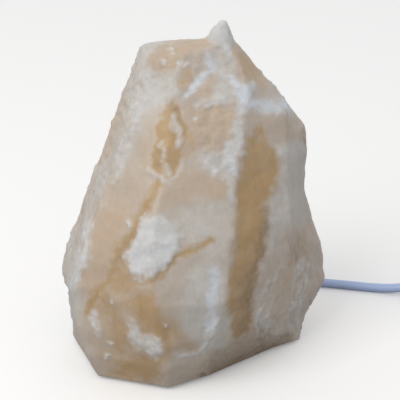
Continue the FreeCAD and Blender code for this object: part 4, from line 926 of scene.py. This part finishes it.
def makeScrewTree():
    # screws with a cross recess, seen from below, one on each point of the mesh
    group, start, end = newGeometry("crossScrews", {
        "Head Radius": 0.0025, "Head Height": 0.0009, "Shank Radius": 0.0013,
        "Shank Length": 0.010, "Slot Width": 0.0006, "Slot Length": 0.0028, "Slot Depth": 0.0005,
    }, takesShape=True)
    half = mathNode(group, "MULTIPLY", start["Head Height"], 0.5)
    head = shapeNode(group, "MeshCylinder", {"Vertices": 40, "Radius": start["Head Radius"],
                                             "Depth": start["Head Height"]})
    head = raisedTo(group, head, half)
    double = mathNode(group, "MULTIPLY", start["Slot Depth"], 2.0)
    bars = [shapeNode(group, "MeshCube", {"Size": combine(group, *size, double)})
            for size in ((start["Slot Width"], start["Slot Length"]),
                         (start["Slot Length"], start["Slot Width"]))]
    cross = shapeNode(group, "MeshBoolean", {"Mesh 2": joined(group, *bars)}, operation="UNION")
    cut = group.nodes.new("GeometryNodeMeshBoolean")
    cut.operation = "DIFFERENCE"
    group.links.new(head, cut.inputs["Mesh 1"])
    group.links.new(cross, cut.inputs["Mesh 2"])
    lift = mathNode(group, "ADD", start["Head Height"],
                    mathNode(group, "MULTIPLY", start["Shank Length"], 0.5))
    shank = shapeNode(group, "MeshCylinder", {"Vertices": 24, "Radius": start["Shank Radius"],
                                              "Depth": start["Shank Length"]})
    screw = joined(group, cut.outputs[0], raisedTo(group, shank, lift))
    screws = shapeNode(group, "InstanceOnPoints", {"Points": start["Geometry"],
                                                   "Instance": screw})
    return closeTree(group, start, end, screws)


def makeCoilTree():
    # a fine wire wound along a line
    group, start, end = newGeometry("coiledWire", {
        "Turns": 60.0, "Coil Radius": 0.0002, "Wire Radius": 0.00005, "Points": 900,
    }, takesShape=True)
    line = shapeNode(group, "MeshToCurve", {"Mesh": start["Geometry"]})
    line = shapeNode(group, "ResampleCurve", {"Curve": line, "Count": start["Points"]})
    share = shapeNode(group, "SplineParameter")
    turn = mathNode(group, "MULTIPLY", mathNode(group, "MULTIPLY", share, start["Turns"]),
                    2 * math.pi)
    normal = shapeNode(group, "InputNormal")
    tangent = shapeNode(group, "InputTangent")
    side = addNode(group, "VectorMath", operation="CROSS_PRODUCT")
    link(group, tangent, side.inputs[0])
    link(group, normal, side.inputs[1])
    both = []
    for vector, wave in ((normal, "COSINE"), (side.outputs[0], "SINE")):
        scaled = addNode(group, "VectorMath", operation="SCALE")
        link(group, vector, scaled.inputs[0])
        link(group, mathNode(group, "MULTIPLY", mathNode(group, wave, turn),
                             start["Coil Radius"]), scaled.inputs["Scale"])
        both.append(scaled.outputs[0])
    offset = addNode(group, "VectorMath", operation="ADD")
    link(group, both[0], offset.inputs[0])
    link(group, both[1], offset.inputs[1])
    wound = shapeNode(group, "SetPosition", {"Geometry": line, "Offset": offset.outputs[0]})
    ring = shapeNode(group, "CurvePrimitiveCircle", {"Resolution": 6,
                                                     "Radius": start["Wire Radius"]})
    wire = shapeNode(group, "CurveToMesh", {"Curve": wound, "Profile Curve": ring,
                                            "Fill Caps": True})
    return closeTree(group, start, end, wire, 0.000001)


def makeReliefTree():
    # a ribbed rubber sleeve that tapers along a cord's own line
    group, start, end = newGeometry("ribbedRelief", {
        "Root Radius": 0.0045, "Tip Radius": 0.0033, "Rib Depth": 0.0005, "Ribs": 6.0,
    }, takesShape=True)
    line = shapeNode(group, "MeshToCurve", {"Mesh": start["Geometry"]})
    line = shapeNode(group, "ResampleCurve", {"Curve": line, "Count": 110})
    share = shapeNode(group, "SplineParameter")
    slope = mathNode(group, "MULTIPLY", share,
                     mathNode(group, "SUBTRACT", start["Tip Radius"], start["Root Radius"]))
    outer = mathNode(group, "ADD", start["Root Radius"], slope)
    wave = mathNode(group, "SINE", mathNode(
        group, "MULTIPLY", mathNode(group, "MULTIPLY", share, start["Ribs"]), 2 * math.pi))
    steep = mathNode(group, "ADD", mathNode(group, "MULTIPLY", wave, 2.2), 0.5, clamp=True)
    thin = mathNode(group, "MULTIPLY", mathNode(group, "SUBTRACT", 1.0, share), start["Rib Depth"])
    reach = mathNode(group, "SUBTRACT", outer,
                     mathNode(group, "MULTIPLY", mathNode(group, "SUBTRACT", 1.0, steep), thin))
    ring = shapeNode(group, "CurvePrimitiveCircle", {"Resolution": 40, "Radius": 1.0})
    sleeve = shapeNode(group, "CurveToMesh", {"Curve": line, "Profile Curve": ring,
                                              "Scale": reach, "Fill Caps": True})
    return closeTree(group, start, end, sleeve)


# ---- finishes of the pieces that keep their built shape ----

metal = {"Metallic": 1.0}
finishes = {
    "foot_rubber": dict(colour=(0.035, 0.035, 0.036), roughness=0.78, bump=0.3,
                        nodes=("foot_front", "foot_right", "foot_back", "foot_left")),
    "holder_plastic": dict(colour=(0.70, 0.70, 0.67), roughness=0.30, colourSpread=0.03,
                           nodes=("holder_dome", "holder_skirt", "shade_ring", "cord_grip",
                                  "grip_nut", "grip_screw")),
    "carrier_resin": dict(colour=(0.020, 0.017, 0.015), roughness=0.42,
                          nodes=("contact_carrier", "bulb_insulator")),
    "brass": dict(colour=(0.74, 0.52, 0.22), roughness=0.30, colourSpread=0.09, fixed=metal,
                  nodes=("screw_shell", "centre_contact", "live_terminal", "neutral_terminal",
                         "contact_bridge", "switch_terminals", "neutral_link")),
    "screw_steel": dict(colour=(0.58, 0.59, 0.61), roughness=0.33, colourSpread=0.05,
                        fixed=metal, nodes=("terminal_screws", "clamp_screws")),
    "spring_steel": dict(colour=(0.47, 0.48, 0.50), roughness=0.27, patchScale=120,
                         colourSpread=0.10, glossSpread=0.14, fixed=metal,
                         nodes=("clip_disc", "spring_clip_1", "spring_clip_2", "spring_clip_3",
                                "switch_clamps")),
    "solder": dict(colour=(0.50, 0.50, 0.51), roughness=0.46, bump=0.4, fixed=metal,
                   nodes=("bulb_tip",)),
    "glass": dict(colour=(0.97, 0.985, 0.98), roughness=0.02, colourSpread=0.01,
                  glossSpread=0.02, bump=0.02, fixed={"Transmission Weight": 1.0, "IOR": 1.5},
                  nodes=("bulb_glass", "glass_stem")),
    "filament_wire": dict(colour=(0.20, 0.20, 0.21), roughness=0.38, fixed=metal,
                          nodes=("lead_wires",)),
    "cord_sheath": dict(colour=(0.50, 0.63, 0.95), roughness=0.38, patchScale=40,
                        grainScale=1400, colourSpread=0.05, bump=0.1,
                        nodes=("cord_in_holder", "cord_in_switch")),
    "live_core_sheath": dict(colour=(0.10, 0.035, 0.012), roughness=0.45,
                             nodes=("live_core", "switch_live_cores")),
    "neutral_core_sheath": dict(colour=(0.012, 0.065, 0.34), roughness=0.45,
                                nodes=("neutral_core", "switch_neutral_cores")),
    "switch_plastic": dict(colour=(0.60, 0.65, 0.79), roughness=0.34, grainScale=2200,
                           colourSpread=0.03, bump=0.22,
                           nodes=("switch_base", "switch_cover", "rocker")),
    "plug_plastic": dict(colour=(0.52, 0.59, 0.80), roughness=0.42, grainScale=1800,
                         colourSpread=0.03, bump=0.25, nodes=("plug_body",)),
    "pin_metal": dict(colour=(0.66, 0.63, 0.58), roughness=0.19, patchScale=220, fixed=metal,
                      nodes=("plug_pins",)),
    "pin_sleeve": dict(colour=(0.50, 0.57, 0.77), roughness=0.40, nodes=("plug_pin_sleeves",)),
}
slotMaterials = {}
for slotName, finish in finishes.items():
    choice = {word: value for word, value in finish.items() if word != "nodes"}
    slotMaterials[slotName] = plainMaterial(slotName, **choice)
    for node in finish["nodes"]:
        nodes[node].data.materials.clear()
        nodes[node].data.materials.append(slotMaterials[slotName])
print("finishes:", len(slotMaterials))


# ---- threads, rivets, screws and the filament ----

def dress(thing, slotName, body, *replaced):
    if replaced:
        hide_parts(*replaced)
    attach(thing, body)
    return thing


threadTree = makeThreadTree()
capSleeve = {
    "Radius": 6.95 * mm, "Mouth Radius": 3.2 * mm, "Mouth Length": 1.8 * mm,
    "Bottom": 66.2 * mm, "Length": 17.0 * mm, "Depth": 0.45 * mm, "Pitch": 2.82 * mm,
    "Columns": 97, "Rows": 120, "Material": slotMaterials["brass"],
}
dress(grow("capThread", threadTree, capSleeve), "brass", "bulb", "bulb_cap")

skirtSleeve = {
    "Radius": 14.02 * mm, "Mouth Radius": 14.02 * mm, "Mouth Length": 0.1 * mm,
    "Bottom": 62.3 * mm, "Length": 17.5 * mm, "Depth": -0.45 * mm, "Pitch": 2.5 * mm,
    "Columns": 145, "Rows": 120, "Material": slotMaterials["holder_plastic"],
}
dress(grow("skirtThread", threadTree, skirtSleeve), "holder_plastic", "light_unit")

rivets = {
    "Count": 3, "Ring Radius": 18.7 * mm, "Low": 54.0 * mm, "High": 55.4 * mm,
    "Head Radius": 1.25 * mm, "Head Height": 0.5 * mm, "Shank Radius": 0.8 * mm,
    "Material": slotMaterials["screw_steel"],
}
dress(grow("clipRivets", makeRivetTree(), rivets), "screw_steel", "light_unit", "clip_rivets")

switchMiddle = (182.5 * mm, 56 * mm)
screwAcross, screwForward, screwSink = 14 * mm, 8.6 * mm, 0.3 * mm
screwPlaces = [(switchMiddle[0] + side * screwAcross, switchMiddle[1] - screwForward, screwSink)
               for side in (1, -1)]
screws = {
    "Head Radius": 2.5 * mm, "Head Height": 0.9 * mm, "Shank Radius": 1.3 * mm,
    "Shank Length": 11.0 * mm, "Slot Width": 0.6 * mm, "Slot Length": 2.8 * mm,
    "Slot Depth": 0.5 * mm, "Material": slotMaterials["screw_steel"],
}
screwSpots = bpy.data.meshes.new("screwSpots")
screwSpots.from_pydata(screwPlaces, [], [])
dress(grow("switchScrews", makeScrewTree(), screws, screwSpots, smooth=False), "screw_steel",
      "light_unit", "switch_screws")

filamentReach, filamentBase = 5 * mm, 96.2 * mm
filamentRises = (0, 1 * mm, 5 * mm, 1 * mm, 5 * mm, 1 * mm, 0)
filamentAcross = (-1, -1, -0.5, 0, 0.5, 1, 1)
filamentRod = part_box("filament")[1][1]      # the half thickness that the coils fill
filament = {
    "Turns": 120.0, "Coil Radius": filamentRod * 0.72, "Wire Radius": filamentRod * 0.28,
    "Points": 1300, "Material": slotMaterials["filament_wire"],
}
filamentLine = lineMesh("filamentLine", [
    (filamentReach * across, 0, filamentBase + rise)
    for across, rise in zip(filamentAcross, filamentRises)])
dress(grow("coiledFilament", makeCoilTree(), filament, filamentLine), "filament_wire", "bulb",
      "filament")
print("threads, rivets, screws and filament ready")


# ---- the cord ----

cordSizes = {
    "diameter": 0.0055,
    "floorLine": 0.00275,
    "coilMiddle": (0.2144, -0.0085),
    "coilOuter": 0.040,
    "coilPitch": 0.0061,
    "turnsIn": 3,
    "turnsOut": 2.625,
    "layerRise": 0.0061,
    "pointsPerTurn": 16,
}

leadRoute = (
    (0.0, 0.0, 0.022), (0.0, 0.0, 0.0115), (0.0052, 0.009, 0.00275), (0.0134, 0.0236, 0.00275),
    (0.0262, 0.0442, 0.00275), (0.0385, 0.0605, 0.00275), (0.061, 0.0712, 0.00275),
    (0.088, 0.0669, 0.00275), (0.122, 0.0592, 0.00275), (0.139, 0.056, 0.0085),
    (0.1515, 0.056, 0.0085),
)
linkRoute = (
    (0.2135, 0.056, 0.0085), (0.227, 0.056, 0.0085), (0.2393, 0.0505, 0.0056),
    (0.2485, 0.0402, 0.0034), (0.2533, 0.027, 0.00275), (0.2549, 0.012, 0.00275),
    (0.2545, -0.003, 0.00275),
)
tailRoute = (
    (0.2373, -0.0392, 0.00885), (0.2283, -0.0486, 0.00885), (0.2159, -0.0539, 0.00685),
    (0.2029, -0.0539, 0.00685),
)


def coilPoint(turn):
    # the coiled cord's line after this many turns: in along the table, up, and out again
    pitch, rise = cordSizes["coilPitch"], cordSizes["layerRise"]
    turnsIn = cordSizes["turnsIn"]
    inner = cordSizes["coilOuter"] - pitch * turnsIn
    climb = min(max((turn - turnsIn) / 0.5, 0), 1)
    if turn < turnsIn:
        radius = cordSizes["coilOuter"] - pitch * turn
    elif climb < 1:
        radius = inner - pitch * climb * (1 - climb) / 2
    else:
        radius = inner + pitch * (turn - turnsIn - 0.5)
    bearing = -2 * math.pi * turn
    return (cordSizes["coilMiddle"][0] + radius * math.cos(bearing),
            cordSizes["coilMiddle"][1] + radius * math.sin(bearing),
            cordSizes["floorLine"] + rise * climb ** 2 * (3 - 2 * climb))


def coilPoints():
    turns = cordSizes["turnsIn"] + 0.5 + cordSizes["turnsOut"]
    count = math.ceil(turns * cordSizes["pointsPerTurn"])
    return tuple(coilPoint(turns * step / count) for step in range(count + 1))


def cordCurve(name, points, material):
    curve = bpy.data.curves.new(name, "CURVE")
    curve.dimensions = "3D"
    spline = curve.splines.new("NURBS")
    spline.points.add(len(points) - 1)
    for spot, place in zip(spline.points, points):
        spot.co = (*place, 1)
    spline.order_u = 3
    spline.use_endpoint_u = True
    spline.resolution_u = 8
    curve.bevel_depth = cordSizes["diameter"] / 2
    curve.bevel_resolution = 6
    curve.use_fill_caps = True
    curve.materials.append(material)
    return newObject(name, curve)


def routePoints(thing):
    # the points of a curve's own line, read with its thickness taken off for a moment
    depth = thing.data.bevel_depth
    thing.data.bevel_depth = 0
    bpy.context.view_layer.update()
    graph = bpy.context.evaluated_depsgraph_get()
    mesh = bpy.data.meshes.new_from_object(thing.evaluated_get(graph))
    points = getPoints(mesh)
    thing.data.bevel_depth = depth
    bpy.data.meshes.remove(mesh)
    return points


def firstStretch(points, length):
    # the part of a line up to this length from its start
    steps = np.linalg.norm(np.diff(points, axis=0), axis=1)
    along = np.concatenate(([0], np.cumsum(steps)))
    marks = np.linspace(0, length, 24)
    return np.stack([np.interp(marks, along, points[:, axis]) for axis in range(3)], axis=1)


leadCord = cordCurve("leadCord", leadRoute, slotMaterials["cord_sheath"])
tailCord = cordCurve("tailCord", linkRoute[:-1] + coilPoints() + tailRoute,
                     slotMaterials["cord_sheath"])
leadLine, tailLine = routePoints(leadCord), routePoints(tailCord)

# The switch's two tapered sleeves, each on the line of its cord.
switchRelief = {
    "Root Radius": 4.6 * mm, "Tip Radius": 3.3 * mm, "Rib Depth": 0.7 * mm, "Ribs": 7.0,
    "Material": slotMaterials["switch_plastic"],
}
reliefLength = 21 * mm
reliefTree = makeReliefTree()
for name, line in (("reliefIn", leadLine[::-1]), ("reliefOut", tailLine)):
    sleeve = grow(name, reliefTree, switchRelief,
                  lineMesh(name + "Line", firstStretch(line, reliefLength)))
    dress(sleeve, "switch_plastic", "light_unit")

dress(leadCord, "cord_sheath", "light_unit", "cord_lead")
dress(tailCord, "cord_sheath", "light_unit", "cord_link", "cord_coil", "cord_tail")
